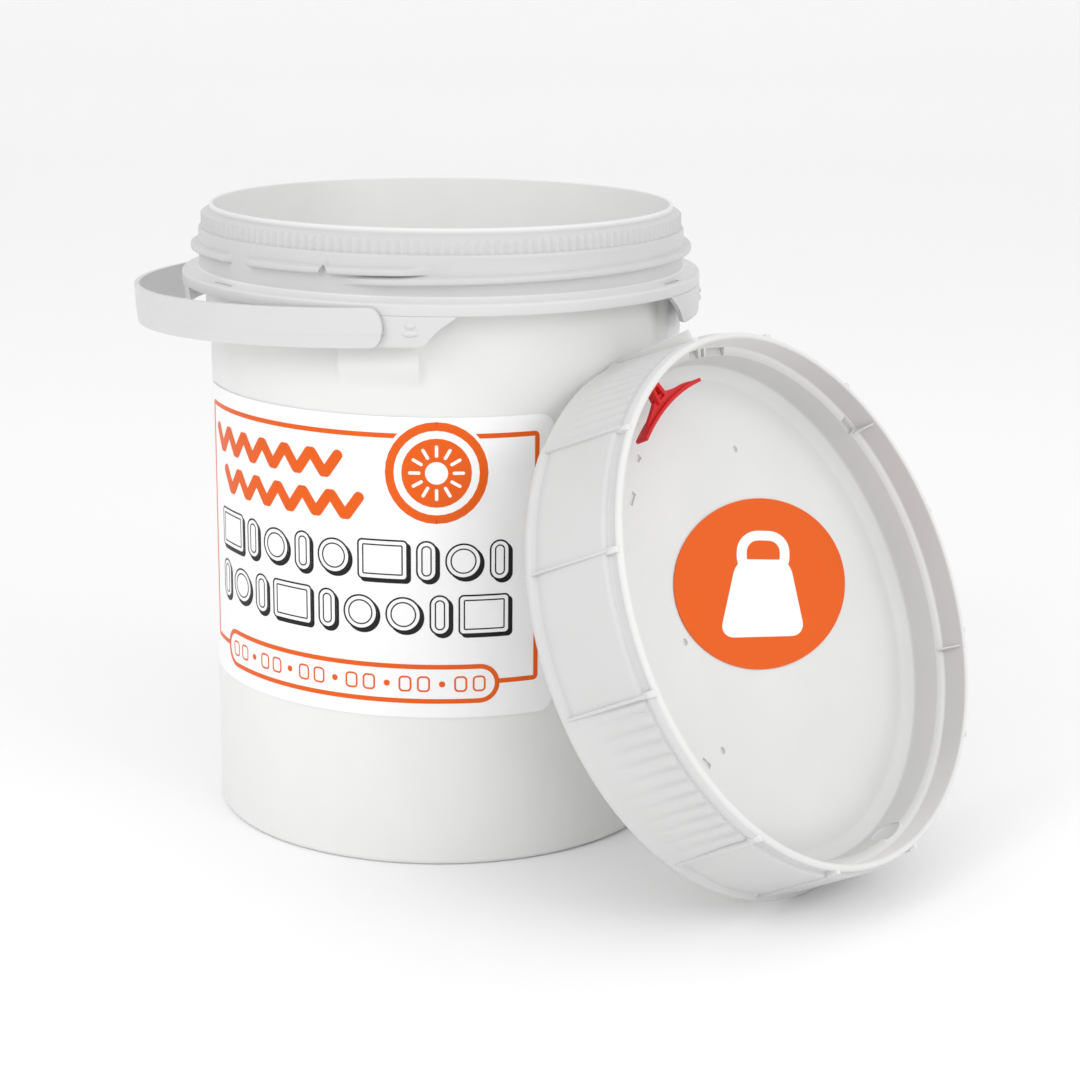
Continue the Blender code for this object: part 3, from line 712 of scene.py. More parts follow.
def moulded_plastic(name, colour, darker=0.965, smooth_to=0.34, rough_to=0.46, grain=0.08):
    """Moulded plastic: cloudy colour, painted shade where marked, uneven sheen and a faint grain.
    """
    material, shader = new_material(name)
    links = material.node_tree.links
    cloud = noise(material, 18.0, 3.0)
    sheen = noise(material, 60.0, 4.0, 0.6)
    fine = noise(material, 1500.0, 2.0)
    # Painted shade: the marked share darkens the colour towards a grey
    mark = add_node(material, "ShaderNodeAttribute")
    mark.attribute_name = "painted_shade"
    painted_shade = add_node(material, "ShaderNodeMix")
    painted_shade.data_type = "RGBA"
    painted_shade.blend_type = "MULTIPLY"
    painted_shade.inputs["B"].default_value = (*PAINTED_SHADE_COLOUR, 1.0)
    links.new(mark.outputs["Fac"], painted_shade.inputs["Factor"])
    links.new(tint(material, cloud, colour, darker), painted_shade.inputs["A"])
    links.new(painted_shade.outputs["Result"], shader.inputs["Base Color"])
    links.new(vary(material, sheen, smooth_to, rough_to), shader.inputs["Roughness"])
    links.new(bump(material, fine, grain), shader.inputs["Normal"])
    shader.inputs["Specular IOR Level"].default_value = 0.4
    return material


def printed_film(name, colour, smooth_to=0.3, rough_to=0.4):
    """Coated print: an even colour with an uneven gloss and a faint ripple."""
    material, shader = new_material(name)
    links = material.node_tree.links
    cloud = noise(material, 35.0, 3.0)
    ripple = noise(material, 220.0, 2.0)
    links.new(tint(material, cloud, colour, 0.97), shader.inputs["Base Color"])
    links.new(vary(material, cloud, smooth_to, rough_to), shader.inputs["Roughness"])
    links.new(bump(material, ripple, 0.05), shader.inputs["Normal"])
    shader.inputs["Specular IOR Level"].default_value = 0.2
    return material


def dress(piece, material, body, slot, *nodes):
    """Give a piece its finish, its body and the CAD nodes it stands for; the slot is not used."""
    piece.data.materials.clear()
    piece.data.materials.append(material)
    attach(piece, body)
    if nodes:
        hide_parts(*nodes)


# Pail


def thread_height(turned_by):
    """The height of a thread's crest, after turning by some degrees from its start."""
    return THREAD_LOW + THREAD_RISE * (np.maximum(turned_by, 0.0) / THREAD_UPPER_END)**THREAD_EASE


def pail_section():
    """The pail's section from the middle of its floor over the lip and down to its base."""
    top = PAIL_TOP / MM
    inside = [(0.0, 3.0, 0.0), (138.2, 3.0, 8.0), (138.2, top, 0.9), (140.4, top, 1.2)]
    inside += [(140.4, 372.0, 0.5), (144.6, 370.3, 0.5)]
    neck = [(145.6, 369.4, 0.0), (145.6, 365.6, 0.0), (145.6, 361.8, 0.0), (146.9, 361.2, 0.4)]
    neck += [(147.2, 360.0, 0.0)]
    for rings in (THREAD_UPPER_RINGS, THREAD_LOWER_RINGS):
        for index in reversed(range(len(THREAD_SECTION))):
            neck.append((147.2, (rings + index * THREAD_RING_STEP) / MM, 0.0))
    collar = [(147.2, 338.0, 1.6), (157.4, 335.7, 1.7), (157.4, 329.0, 0.6), (154.8, 329.0, 0.6)]
    collar += [(154.8, 332.9, 0.4), (141.0, 332.9, 1.2)]
    wall = [(141.0, height, 0.0)
            for height in (328.0, 315.0, 302.0, 299.5, 297.0, 294.5, 292.0, 289.5, 287.0, 284.5,
                           200.0, 100.0)]
    wall += [(141.0, 0.0, 4.0), (0.0, 0.0, 0.0)]
    return soften(in_metres(inside + neck + collar + wall))


def wind_threads(radius, azimuth, height):
    """Move the neck's spare rings into the ridges of the two threads."""
    since = (azimuth - THREAD_START) % 180.0
    gap = THREAD_LOWER_END, THREAD_UPPER_START
    first_end = THREAD_UPPER_END - 180.0
    late = np.where(since < first_end + THREAD_PARKING, since + 180.0, since)
    low = np.where(since < THREAD_RETURN[0], 1.0 - smooth_step(*gap, since),
                   smooth_step(*THREAD_RETURN, since))
    high = np.where(since < gap[0],
                    1.0 - smooth_step(first_end, first_end + THREAD_PARKING, since),
                    smooth_step(*gap, since))
    low_ends = smooth_step(0.0, THREAD_FADE_IN, since)
    low_ends = low_ends * (1.0 - smooth_step(gap[0] - THREAD_END_TURN, gap[0], since))
    high_ends = smooth_step(gap[1], gap[1] + THREAD_END_TURN, late)
    high_ends = high_ends * (1.0 - smooth_step(THREAD_UPPER_END - THREAD_POINT,
                                               THREAD_UPPER_END, late))
    home = height.copy()
    on_neck = np.abs(radius - NECK_RADIUS) < NEAR
    top = -FAR
    for rings, resting, turned_by, raised, ends in (
            (THREAD_LOWER_RINGS, LOWER_PARKED, since, low, low_ends),
            (THREAD_UPPER_RINGS, UPPER_PARKED, late, high, high_ends)):
        for index, (offset, share) in enumerate(THREAD_SECTION):
            ring = np.abs(home - rings - index * THREAD_RING_STEP) < RING_NEAR
            ring &= on_neck
            parked = (resting + PARKED_STEP * index) * MM
            course = parked + (thread_height(turned_by) + offset * MM - parked) * raised
            course = np.maximum(course, top + (RING_GAP + RING_GAP * index) * MM)
            height[ring] = course[ring]
            radius[ring] += THREAD_RELIEF * share * ends[ring]
        top = course


def from_ear(azimuth):
    """Degrees from the nearest ear's middle."""
    return (azimuth - EAR_AZIMUTH + EAR_PITCH / 2.0) % EAR_PITCH - EAR_PITCH / 2.0


def hang_ears(pail):
    """Extrude the four ears from the collar's lower edge, level by level."""
    radius, azimuth, height = polar(points_of(pail))
    near = np.abs(from_ear(azimuth)) < EAR_HALF_WIDTH + EAR_MARGIN
    edge = near & (np.abs(height - SKIRT_BOTTOM) < NEAR)
    middle = (COLLAR_RADIUS + COLLAR_INSIDE) / 2.0
    radius[edge] = np.where(radius[edge] > middle, COLLAR_RADIUS, COLLAR_INSIDE)
    set_points(pail, from_polar(radius, azimuth, height))
    centres = np.empty(len(pail.data.polygons) * 3)
    pail.data.polygons.foreach_get("center", centres)
    _, face_azimuth, face_height = polar(centres.reshape(-1, 3))
    low = np.abs(face_height - SKIRT_BOTTOM) < NEAR
    low &= np.abs(from_ear(face_azimuth)) < EAR_HALF_WIDTH
    choose(pail, low, "FACE")
    for _ in EAR_LEVELS:
        bpy.ops.mesh.extrude_region_move(TRANSFORM_OT_translate={"value": (0.0, 0.0, -EAR_STEP)})
    stop_editing()
    radius, azimuth, height = polar(points_of(pail))
    offset = from_ear(azimuth)
    outside = radius > middle
    hanging = (radius > COLLAR_INSIDE - EAR_BAND) & (height < SKIRT_BOTTOM - RING_NEAR)
    steps = np.round((SKIRT_BOTTOM - height) / EAR_STEP).astype(int)
    for step, (level, half_width, pinch) in enumerate(EAR_LEVELS, 1):
        moved = hanging & (steps == step)
        azimuth[moved] += (offset * (half_width / EAR_HALF_WIDTH - 1.0))[moved]
        height[moved] = level * MM
        edge_radius = np.where(outside, COLLAR_RADIUS - pinch * MM, COLLAR_INSIDE + pinch * MM)
        radius[moved] = edge_radius[moved]
    set_points(pail, from_polar(radius, azimuth, height))


class PAIL_OT_body(bpy.types.Operator):
    """Build the pail: its wall, lip, teeth, threads, collar and ears"""

    bl_idname = "pail.body"
    bl_label = "Pail body"

    def execute(self, context):
        settings = context.scene.pail_settings
        pail = lathe("pail_body", pail_section(), settings.teeth * COLUMNS_PER_TOOTH)
        radius, azimuth, height = polar(points_of(pail))
        wind_threads(radius, azimuth, height)
        column = np.round(azimuth * settings.teeth * COLUMNS_PER_TOOTH / 360.0).astype(int)
        teeth = np.abs(radius - TEETH_RADIUS) < NEAR
        teeth &= (height > TEETH_LEVELS[0]) & (height < TEETH_LEVELS[1])
        radius[teeth & (column % COLUMNS_PER_TOOTH > 1)] -= settings.tooth_depth
        boss = 1.0 - smooth_step(BOSS_HALF_WIDTH - 1.0, BOSS_HALF_WIDTH + 1.0,
                                 np.abs(from_ear(azimuth)))
        boss *= smooth_step(*BOSS_LEVELS, height)
        wall = (radius > WALL_RADIUS - NEAR) & (radius < WALL_RADIUS + BOSS_BAND)
        wall &= height < BOSS_TOP
        radius[wall] += ((BOSS_RADIUS - WALL_RADIUS) * boss)[wall]
        set_points(pail, from_polar(radius, azimuth, height))
        hang_ears(pail)
        cutters = []
        for azimuth in (EAR_AZIMUTH, EAR_AZIMUTH + 180.0):
            ends = [from_polar(end, azimuth, PIVOT_HEIGHT)[0] for end in HOLE_ENDS]
            cutters.append(rod("hole", HOLE_RADIUS, *ends, 32))
        for azimuth in SLIT_AZIMUTHS:
            slit = block("slit", SLIT_SIZE, SLIT_CENTRE)
            turn(slit, azimuth)
            cutters.append(slit)
        cut_out(pail, cutters)
        bumps = []
        for azimuth in EAR_AZIMUTH + BUMP_TURN + EAR_PITCH * np.arange(4):
            for up, across in BUMPS:
                place = from_polar(BUMP_RADIUS, azimuth, up * MM)[0]
                size = (across * MM, *BUMP_DEPTH_AND_HEIGHT)
                bumps.append(dome("bump", size, place, azimuth))
        pail = join([pail] + bumps, "pail_body")
        finish_mesh(pail)
        radius, _, height = polar(points_of(pail))
        # Painted shade: the neck darkened most, the lip a little, the collar, skirt and ears
        # partly, the inside not at all
        zones = (((-FAR, FAR), (338.5, FAR), 0.87), ((-FAR, FAR), (372.5, FAR), 0.2),
                 ((150.0, FAR), (-FAR, 338.5), 0.6), ((-FAR, 138.6), (-FAR, FAR), 0.0))
        mark_painted_shade(pail, painted_shade_share(radius, height, zones))
        dress(pail, moulded_plastic("pail plastic", settings.colour), "pail_body",
              "pail_plastic", "pail")
        return {"FINISHED"}


# Handle


def sheet(name, columns, rows, place):
    """A grid whose points place(across, up) moves, both running from 0 to 1."""
    piece = add_mesh(name, bpy.ops.mesh.primitive_grid_add, x_subdivisions=columns,
                     y_subdivisions=rows, size=2.0)
    flat = (points_of(piece) + 1.0) / 2.0
    set_points(piece, place(flat[:, 0], flat[:, 1]))
    return piece


class PAIL_OT_handle(bpy.types.Operator):
    """Build the handle: a flat strap on an oval path, with rounded ends and two studs"""

    bl_idname = "pail.handle"
    bl_label = "Handle"

    def execute(self, context):
        settings = context.scene.pail_settings
        half = settings.strap_height / 2.0

        def place(across, up):
            inside = np.clip((across - END_SHARE) / (1.0 - 2.0 * END_SHARE), 0.0, 1.0)
            angle = math.pi * inside
            x = HOOP_HALF_WIDTH * np.cos(angle)
            y = HOOP_REACH * np.sin(angle)
            outside = np.minimum(across, 1.0 - across) / END_SHARE
            end = 0.5 * math.pi * (1.0 - np.clip(outside, 0.0, 1.0))
            y = y - END_REACH * np.sin(end) * (outside < 1.0)
            z = (2.0 * up - 1.0) * half * np.maximum(np.cos(end), END_HEIGHT)
            edge = CREASE - half
            fall = CREASE_DEPTH * (1.0 - smooth_step(edge - CREASE_WIDTH, edge, z))
            fall += CREASE_SLOPE * np.clip((edge - z) / CREASE, 0.0, 1.0)
            shrink = 1.0 - fall / HOOP_HALF_WIDTH
            return np.column_stack((x * shrink, y * shrink, z))

        strap = sheet("handle_strap", 200, 32, place)
        thicken(strap, settings.strap_thickness)
        bevel_all(strap, STRAP_ROUNDING, 3, 60.0)
        pieces = [strap]
        for side in (-1.0, 1.0):
            pieces.append(rod("stud", STUD_RADIUS, (side * STUD_END, 0.0, 0.0),
                              (side * HOOP_HALF_WIDTH, 0.0, 0.0), 32))
        handle = join(pieces, "handle_strap")
        put(handle, HANDLE_SPACE)
        finish_mesh(handle)
        # Painted shade: the whole handle darkened evenly
        mark_painted_shade(handle, np.full(len(handle.data.vertices), HANDLE_PAINTED_SHADE))
        dress(handle, moulded_plastic("handle plastic", settings.colour), "handle_body",
              "handle_plastic", "handle")
        return {"FINISHED"}


# Label


def wrapped(across, up, radius):
    """Flat places on the label, wrapped round the pail at a radius."""
    return from_polar(radius, LABEL_FROM + np.degrees(across / FILM_RADIUS), LABEL_LOW + up)


def patch(width, height, corner, line=0.0, centre=(0.0, 0.0), degrees=0.0):
    """A flat rounded rectangle, in millimetres, or only its outline of a line's width."""
    piece = add_mesh("patch", bpy.ops.mesh.primitive_plane_add, size=1.0)
    piece.scale = (width * MM, height * MM, 1.0)
    apply_place(piece)
    edit(piece)
    bpy.ops.mesh.bevel(offset=corner * MM, segments=8, affect="VERTICES")
    if line:
        bpy.ops.mesh.select_all(action="SELECT")
        bpy.ops.mesh.inset(thickness=line * MM)
        bpy.ops.mesh.delete(type="FACE")
    stop_editing()
    turn(piece, degrees, (centre[0] * MM, centre[1] * MM, 0.0))
    return piece


def wave(left, middle):
    """A zigzag ribbon of rounded bars, from the middle of its first one."""
    return [patch(*BAR, 0.0, (left + BAR_PITCH * index, middle),
                  BAR_SLOPE if index % 2 else -BAR_SLOPE) for index in range(BARS)]


def dashes():
    """The row of short bars and dots in the banner."""
    return [patch(*(DOT if index % 3 == 2 else DASH),
                  (DASH_START + DASH_PITCH * index, BANNER_CENTRE[1])) for index in range(DASHES)]


def motifs():
    """Two rows of outlined shapes: their shadows, their white fills and their outlines."""
    shadows, fills, outlines = [], [], []
    for middle, widths in MOTIF_ROWS:
        left = BORDER_CENTRE[0] - (sum(widths) + MOTIF_GAP * (len(widths) - 1)) / 2.0
        for width in widths:
            height, corner = MOTIFS[width]
            shape = (width, height, corner)
            inset = (width - 2.0 * MOTIF_INSET, height - 2.0 * MOTIF_INSET,
                     max(corner - MOTIF_INSET, INSET_CORNER))
            centre = (left + width / 2.0, middle)
            low = (centre[0] + SHADOW_OFFSET, centre[1] - SHADOW_OFFSET)
            shadows.append(patch(*shape, 0.0, low))
            fills.append(patch(*shape, 0.0, centre))
            outlines.append(patch(*shape, MOTIF_LINE, centre))
            outlines.append(patch(*inset, INSET_LINE, centre))
            left += width + MOTIF_GAP
    return shadows, fills, outlines


def wrap_print(name, patches, radius):
    """Join flat patches, cut them into narrow columns and wrap them on the label."""
    layer = join(patches, name)
    places = points_of(layer)
    low, high = places[:, 0].min(), places[:, 0].max()
    choose(layer, [True] * len(layer.data.polygons), "FACE")
    for column in np.arange(low + PRINT_COLUMN, high, PRINT_COLUMN):
        bpy.ops.mesh.select_all(action="SELECT")
        bpy.ops.mesh.bisect(plane_co=(column, 0.0, 0.0), plane_no=(1.0, 0.0, 0.0))
    stop_editing()
    places = points_of(layer)
    set_points(layer, wrapped(places[:, 0], places[:, 1], radius))
    thicken(layer, PRINT_STEP)
    finish_mesh(layer, FILM_SHARP)
    return layer


class PAIL_OT_label(bpy.types.Operator):
    """Build the label: a film wrapped on the wall, with its print in flat layers"""

    bl_idname = "pail.label"
    bl_label = "Label"

    def execute(self, context):
        settings = context.scene.label_settings
        width = math.radians(LABEL_TO - LABEL_FROM) * FILM_RADIUS
        height = LABEL_HIGH - LABEL_LOW
        corner = settings.corner

        def place(across, up):
            eased = (1.0 - np.cos(math.pi * across)) / 2.0
            length = width * eased
            into = np.minimum(np.minimum(length, width - length), corner)
            cut = corner - np.sqrt(np.maximum(corner**2 - (corner - into)**2, 0.0))
            return wrapped(length, cut + (height - 2.0 * cut) * up, FILM_RADIUS)

        film = sheet("label_film", 160, 2, place)
        thicken(film, settings.thickness)
        finish_mesh(film, FILM_SHARP)
        film_finish = printed_film("label film", settings.film)
        dress(film, film_finish, "pail_body", "label_film", "label")
        ink = printed_film("label ink", settings.ink)
        shade = printed_film("label dark ink", settings.shade)
        bold = settings.line / MM
        border = [patch(*BORDER, bold, BORDER_CENTRE)]
        blanks = [patch(*SEAL, 0.0, SEAL_CENTRE), patch(*BANNER, 0.0, BANNER_CENTRE)]
        rings = [patch(*SEAL_RING, SEAL_LINE, SEAL_CENTRE), patch(*SEAL_DISC, 0.0, SEAL_CENTRE),
                 patch(*BANNER, bold, BANNER_CENTRE)]
        for start in WAVES:
            rings += wave(*start)
        rings += dashes()
        rays = [patch(*RAY, 0.0, (0.0, RAY_REACH)) for _ in range(RAYS)]
        for index, ray in enumerate(rays):
            turn(ray, 360.0 / RAYS * index, (SEAL_CENTRE[0] * MM, SEAL_CENTRE[1] * MM, 0.0))
        rays.append(patch(*SEAL_HUB, 0.0, SEAL_CENTRE))
        shadows, fills, outlines = motifs()
        layers = (("frame", border, 0, ink), ("shadows", shadows, 0, shade),
                  ("blanks", blanks + fills, 1, film_finish), ("rings", rings, 2, ink),
                  ("outlines", outlines, 2, shade), ("rays", rays, 3, film_finish))
        for name, patches, level, finish in layers:
            layer = wrap_print(f"print_{name}", patches, PRINT_LEVEL + level * PRINT_STEP)
            dress(layer, finish, "pail_body", "label_film")
        return {"FINISHED"}


# Lid


def lid_section():
    """The lid's section from the middle of its panel over the rim and down to its closed end."""
    mouth = [(0.0, 38.2, 0.0), (116.0, 38.2, 0.0), (124.0, 38.4, 0.0), (139.5, 40.0, 6.0)]
    mouth += [(142.4, 39.4, 1.0), (147.4, 33.5, 4.0), (147.4, 17.2, 0.8), (151.6, 15.6, 0.5)]
    mouth += [(152.4, 14.6, 0.4), (152.4, 1.2, 0.8), (153.4, 0.0, 0.5), (154.8, 0.0, 0.7)]
    skirt = [(155.9, 1.4, 0.4)]
    skirt += [(plain, down, 0.0) for down, plain, _, _ in SKIRT_ROWS]
    skirt += [(162.8, 64.2, 2.6), (157.6, 64.2, 0.8)]
    back = [(153.4, 19.5, 0.6), (150.4, 19.5, 0.6), (150.2, 43.2, 1.2), (142.0, 42.6, 2.0)]
    back += [(124.0, 40.6, 0.0), (0.0, 40.6, 0.0)]
    depth = LID_DEPTH / MM
    return soften(in_metres([(radius, depth - down, rounding)
                             for radius, down, rounding in mouth + skirt + back]))


def shape_skirt(lid, ribs, relief):
    """Give the turned skirt its ribbed sections, their ribs and one flatter section."""
    places = points_of(lid)
    radius = np.hypot(places[:, 0], places[:, 1])
    clock = np.degrees(np.arctan2(places[:, 0], places[:, 1]))
    depth = LID_DEPTH - places[:, 2]
    ribbed = np.zeros(len(places))
    gap = np.zeros(len(places))
    for start, end in GRIPS:
        inside = smooth_step(start - GRIP_EDGE, start + GRIP_EDGE, clock)
        inside *= 1.0 - smooth_step(end - GRIP_EDGE, end + GRIP_EDGE, clock)
        hollow = (1.0 + np.cos(2.0 * math.pi * ribs * (clock - start) / (end - start))) / 2.0
        if start != GRIPS[FLAT_GRIP][0]:
            hollow = hollow**RIB_SHARPNESS
        ribbed += inside
        gap += inside * hollow
    shaped = radius.copy()
    for down, plain, ribbed_radius, share in SKIRT_ROWS:
        row = np.abs(depth - down * MM) < SKIRT_NEAR
        row &= np.abs(radius - plain * MM) < SKIRT_NEAR
        level = plain * MM + (ribbed_radius - plain) * MM * ribbed - relief * share * gap
        shaped[row] = level[row]
    start, end = GRIPS[FLAT_GRIP]
    flat = smooth_step(start, start + FLAT_EDGE, clock)
    flat *= 1.0 - smooth_step(end - FLAT_EDGE, end, clock)
    skirt = radius > SKIRT_INSIDE
    shaped -= skirt * flat * FLATTENING * smooth_step(*FLATTENED, depth)
    places[:, :2] *= (shaped / np.maximum(radius, 1.0 * MM))[:, None]
    set_points(lid, places)


def at_clock(radius, clock, depth):
    """Places from their radius, clock angle in degrees and depth, in the lid's own space."""
    angle = np.radians(clock)
    depth = np.broadcast_to(depth, np.shape(radius * angle))
    return np.column_stack((radius * np.sin(angle), radius * np.cos(angle), LID_DEPTH - depth))


def sector(name, radii, clocks, depths):
    """A curved block between two radii, two clock angles and two depths."""
    steps = max(2, round(abs(clocks[1] - clocks[0]) / 1.5))

    def place(across, up):
        return at_clock(radii[0] + (radii[1] - radii[0]) * up,
                        clocks[0] + (clocks[1] - clocks[0]) * across, depths[1])

    piece = sheet(name, steps, 1, place)
    choose(piece, [True] * len(piece.data.polygons), "FACE")
    bpy.ops.mesh.extrude_region_move(
        TRANSFORM_OT_translate={"value": (0.0, 0.0, depths[1] - depths[0])})
    stop_editing()
    face_outwards(piece)
    return piece


def upright_plates(name, width, depths, radii, feet, rounding, clocks):
    """Upright plates at clock angles, each with its own depth, radius and foot at either end."""
    depths, radii, feet = in_metres((depths, radii, feet))
    piece = block(name, (width * MM, MM, MM), (0.0, 0.0, 0.0))
    places = points_of(piece)
    low = places[:, 2] < 0.0
    places[:, 1] = np.where(places[:, 1] > 0.0, np.where(low, radii[1], radii[0]),
                            np.where(low, feet[1], feet[0]))
    places[:, 2] = LID_DEPTH - np.where(low, depths[1], depths[0])
    set_points(piece, places)
    bevel_all(piece, rounding * MM, 2)
    plates = []
    for clock in clocks:
        plate = piece.copy()
        plate.data = piece.data.copy()
        bpy.context.scene.collection.objects.link(plate)
        turn(plate, -clock)
        plates.append(plate)
    bpy.data.objects.remove(piece)
    return plates


def mouth_cutters():
    """What is cut out of the ledge, the mouth and the panel."""
    cutters = [sector("slot", SLOT_RADII, clocks, SLOT_DEPTHS) for clocks in SLOTS]
    place = at_clock(SCOOP_RADIUS, SCOOP_CLOCK, SCOOP_DEPTH)[0]
    cutters.append(dome("scoop", SCOOP_SIZE, place, -SCOOP_CLOCK))
    for radius, clock in DIMPLES:
        ends = [at_clock(radius * MM, clock, depth)[0] for depth in DIMPLE_DEPTHS]
        cutters.append(rod("dimple", DIMPLE_RADIUS, *ends, 20))
    for radius, clock, length in MARKS:
        half = math.degrees(length / radius) / 2.0
        radii = ((radius - MARK_HALF_WIDTH) * MM, (radius + MARK_HALF_WIDTH) * MM)
        cutters.append(sector("mark", radii, (clock - half, clock + half), MARK_DEPTHS))
    return cutters


class PAIL_OT_lid(bpy.types.Operator):
    """Build the lid: its rim, mouth, panel and ribbed skirt"""

    bl_idname = "pail.lid"
    bl_label = "Lid"

    def execute(self, context):
        settings = context.scene.lid_settings
        lid = lathe("lid_shell", lid_section(), LID_COLUMNS)
        shape_skirt(lid, settings.ribs, settings.rib_relief)
        cut_out(lid, mouth_cutters())
        finish_mesh(lid)
        pieces = [lid]
        for plate in PLATES:
            pieces += upright_plates(*plate)
        for plate in pieces[1:]:
            smooth(plate)
        lid = join(pieces, "lid_shell")
        places = points_of(lid)
        radius = np.maximum(np.hypot(places[:, 0], places[:, 1]), MM)
        # Painted shade: the mouth wall darker towards clock 90, and the panel's edge, plug wall,
        # ledge and skirt darker by zones, the rim top not at all
        mouth = MOUTH_PAINTED_SHADE * np.clip(1.4 * places[:, 0] / radius, 0.0, 1.0)
        zones = (((125.0, FAR), (-FAR, FAR), 0.3), ((146.8, FAR), (17.0, FAR), 0.7),
                 ((147.6, 151.9), (-FAR, 17.0), 0.15), ((151.9, FAR), (-FAR, 14.9), mouth),
                 ((152.8, FAR), (-FAR, 1.6), 0.0), ((155.4, FAR), (1.6, FAR), 0.47))
        painted_shade = painted_shade_share(radius, LID_DEPTH - places[:, 2], zones)
        mark_painted_shade(lid, painted_shade)
        put(lid, LID_SPACE)
        dress(lid, moulded_plastic("lid plastic", settings.colour), "pail_body",
              "lid_plastic", "lid")
        return {"FINISHED"}


def strip_place(across, up):
    """Where the strip of the latch is."""
    return at_clock(STRIP_RADIUS * MM, STRIP_START + STRIP_ANGLE * across,
                    (STRIP_DEPTH - STRIP_HEIGHT * up) * MM)


def web_place(across, up):
    """Where the web of the latch is, swollen at the stem and tapered to its ends."""
    clock = WEB_START + WEB_ANGLE * across
    inner, outer = WEB_RADII
    outer = outer + WEB_SWELLING * np.exp(-((clock - LATCH_CLOCK) / WEB_SWELLING_ANGLE)**2)
    outer -= WEB_TAPER * smooth_step(WEB_TAPER_FROM, 0.5, np.abs(across - 0.5))
    return at_clock((inner + (outer - inner) * up) * MM, clock, WEB_DEPTH * MM)


def curved_bar(name, place, thickness, rounding):
    """A rounded bar on a curved sheet, with its measures in millimetres."""
    bar = sheet(name, 40, 4, place)
    thicken(bar, thickness * MM)
    bevel_all(bar, rounding * MM, 2, 60.0)
    return bar


def tapered(name, length, height, centre, widths):
    """A block at clock angle 0 with its own width at either end, in millimetres."""
    radius, depth = centre
    piece = block(name, (1.0, length * MM, height * MM), (0.0, radius * MM, LID_DEPTH - depth * MM))
    places = points_of(piece)
    places[:, 0] *= np.where(places[:, 1] < radius * MM, widths[0] * MM, widths[1] * MM)
    set_points(piece, places)
    return piece


class PAIL_OT_latch(bpy.types.Operator):
    """Build the latch: a curved strip on a stem that reaches over the ledge"""

    bl_idname = "pail.latch"
    bl_label = "Latch"

    def execute(self, context):
        settings = context.scene.lid_settings
        strip = curved_bar("lid_latch", strip_place, STRIP_THICKNESS, STRIP_ROUNDING)
        web = curved_bar("web", web_place, WEB_THICKNESS, WEB_ROUNDING)
        stem = tapered("stem", *STEM)
        cut_out(stem, [tapered("pit", *PIT)])
        turn(stem, -LATCH_CLOCK)
        bevel_all(stem, WEB_ROUNDING * MM, 2)
        latch = join([strip, web, stem], "lid_latch")
        put(latch, LID_SPACE)
        finish_mesh(latch)
        dress(latch, moulded_plastic("latch plastic", settings.latch, 0.9), "pail_body",
              "latch_plastic", "lid_latch")
        return {"FINISHED"}


def draw_weight():
    """A flat white weight with a ring, stretched to look upright on the leaning sticker."""
    ring = patch(*RING)
    ring.location.z = RING_LIFT
    apply_place(ring)
    body = patch(*WEIGHT)
    places = points_of(body)
    places[:, 0] *= 1.0 - WEIGHT_NARROWING * (places[:, 1] - WEIGHT_FOOT)
    set_points(body, places)
    weight = join([body, ring], "sticker_weight")
    places = points_of(weight)
    height = LID_DEPTH - PANEL_DEPTH + MARK_LIFT
    across, up = places[:, 0], places[:, 1]
    flat = np.column_stack((STICKER_MIDDLE[0] + across * STICKER_ACROSS[0] + up * STICKER_UP[0],
                            STICKER_MIDDLE[1] + across * STICKER_ACROSS[1] + up * STICKER_UP[1],
                            height + places[:, 2]))
    set_points(weight, flat)
    thicken(weight, MARK_THICKNESS)
    return weight


class PAIL_OT_sticker(bpy.types.Operator):
    """Build the oval sticker on the lid's panel, with its white mark"""

    bl_idname = "pail.sticker"
    bl_label = "Sticker"

    def execute(self, context):
        settings = context.scene.lid_settings
        sticker = add_mesh("lid_sticker", bpy.ops.mesh.primitive_cylinder_add, vertices=128,
                           radius=1.0, depth=1.0)
        sticker.scale = STICKER_SIZE
        apply_place(sticker)
        turn(sticker, STICKER_TURN, (*STICKER_MIDDLE, LID_DEPTH - PANEL_DEPTH + STICKER_LIFT))
        put(sticker, LID_SPACE)
        finish_mesh(sticker, FILM_SHARP)
        dress(sticker, printed_film("sticker print", settings.sticker), "pail_body",
              "sticker_film", "lid_sticker")
        weight = draw_weight()
        put(weight, LID_SPACE)
        finish_mesh(weight, FILM_SHARP)
        dress(weight, printed_film("sticker white", settings.mark), "pail_body", "sticker_film")
        return {"FINISHED"}


# Studio


def soft_lamp(name, power, place, target):
    """A wide soft lamp at a place, aimed at a target."""
    lamp = bpy.data.lights.new(name, "AREA")
    lamp.energy = power
    lamp.shape = "RECTANGLE"
    lamp.size, lamp.size_y = LAMP_SIZE
    light = bpy.data.objects.new(name, lamp)
    bpy.context.scene.collection.objects.link(light)
    light.location = place
    light.rotation_euler = (Vector(target) - light.location).to_track_quat("-Z", "Y").to_euler()
    return light


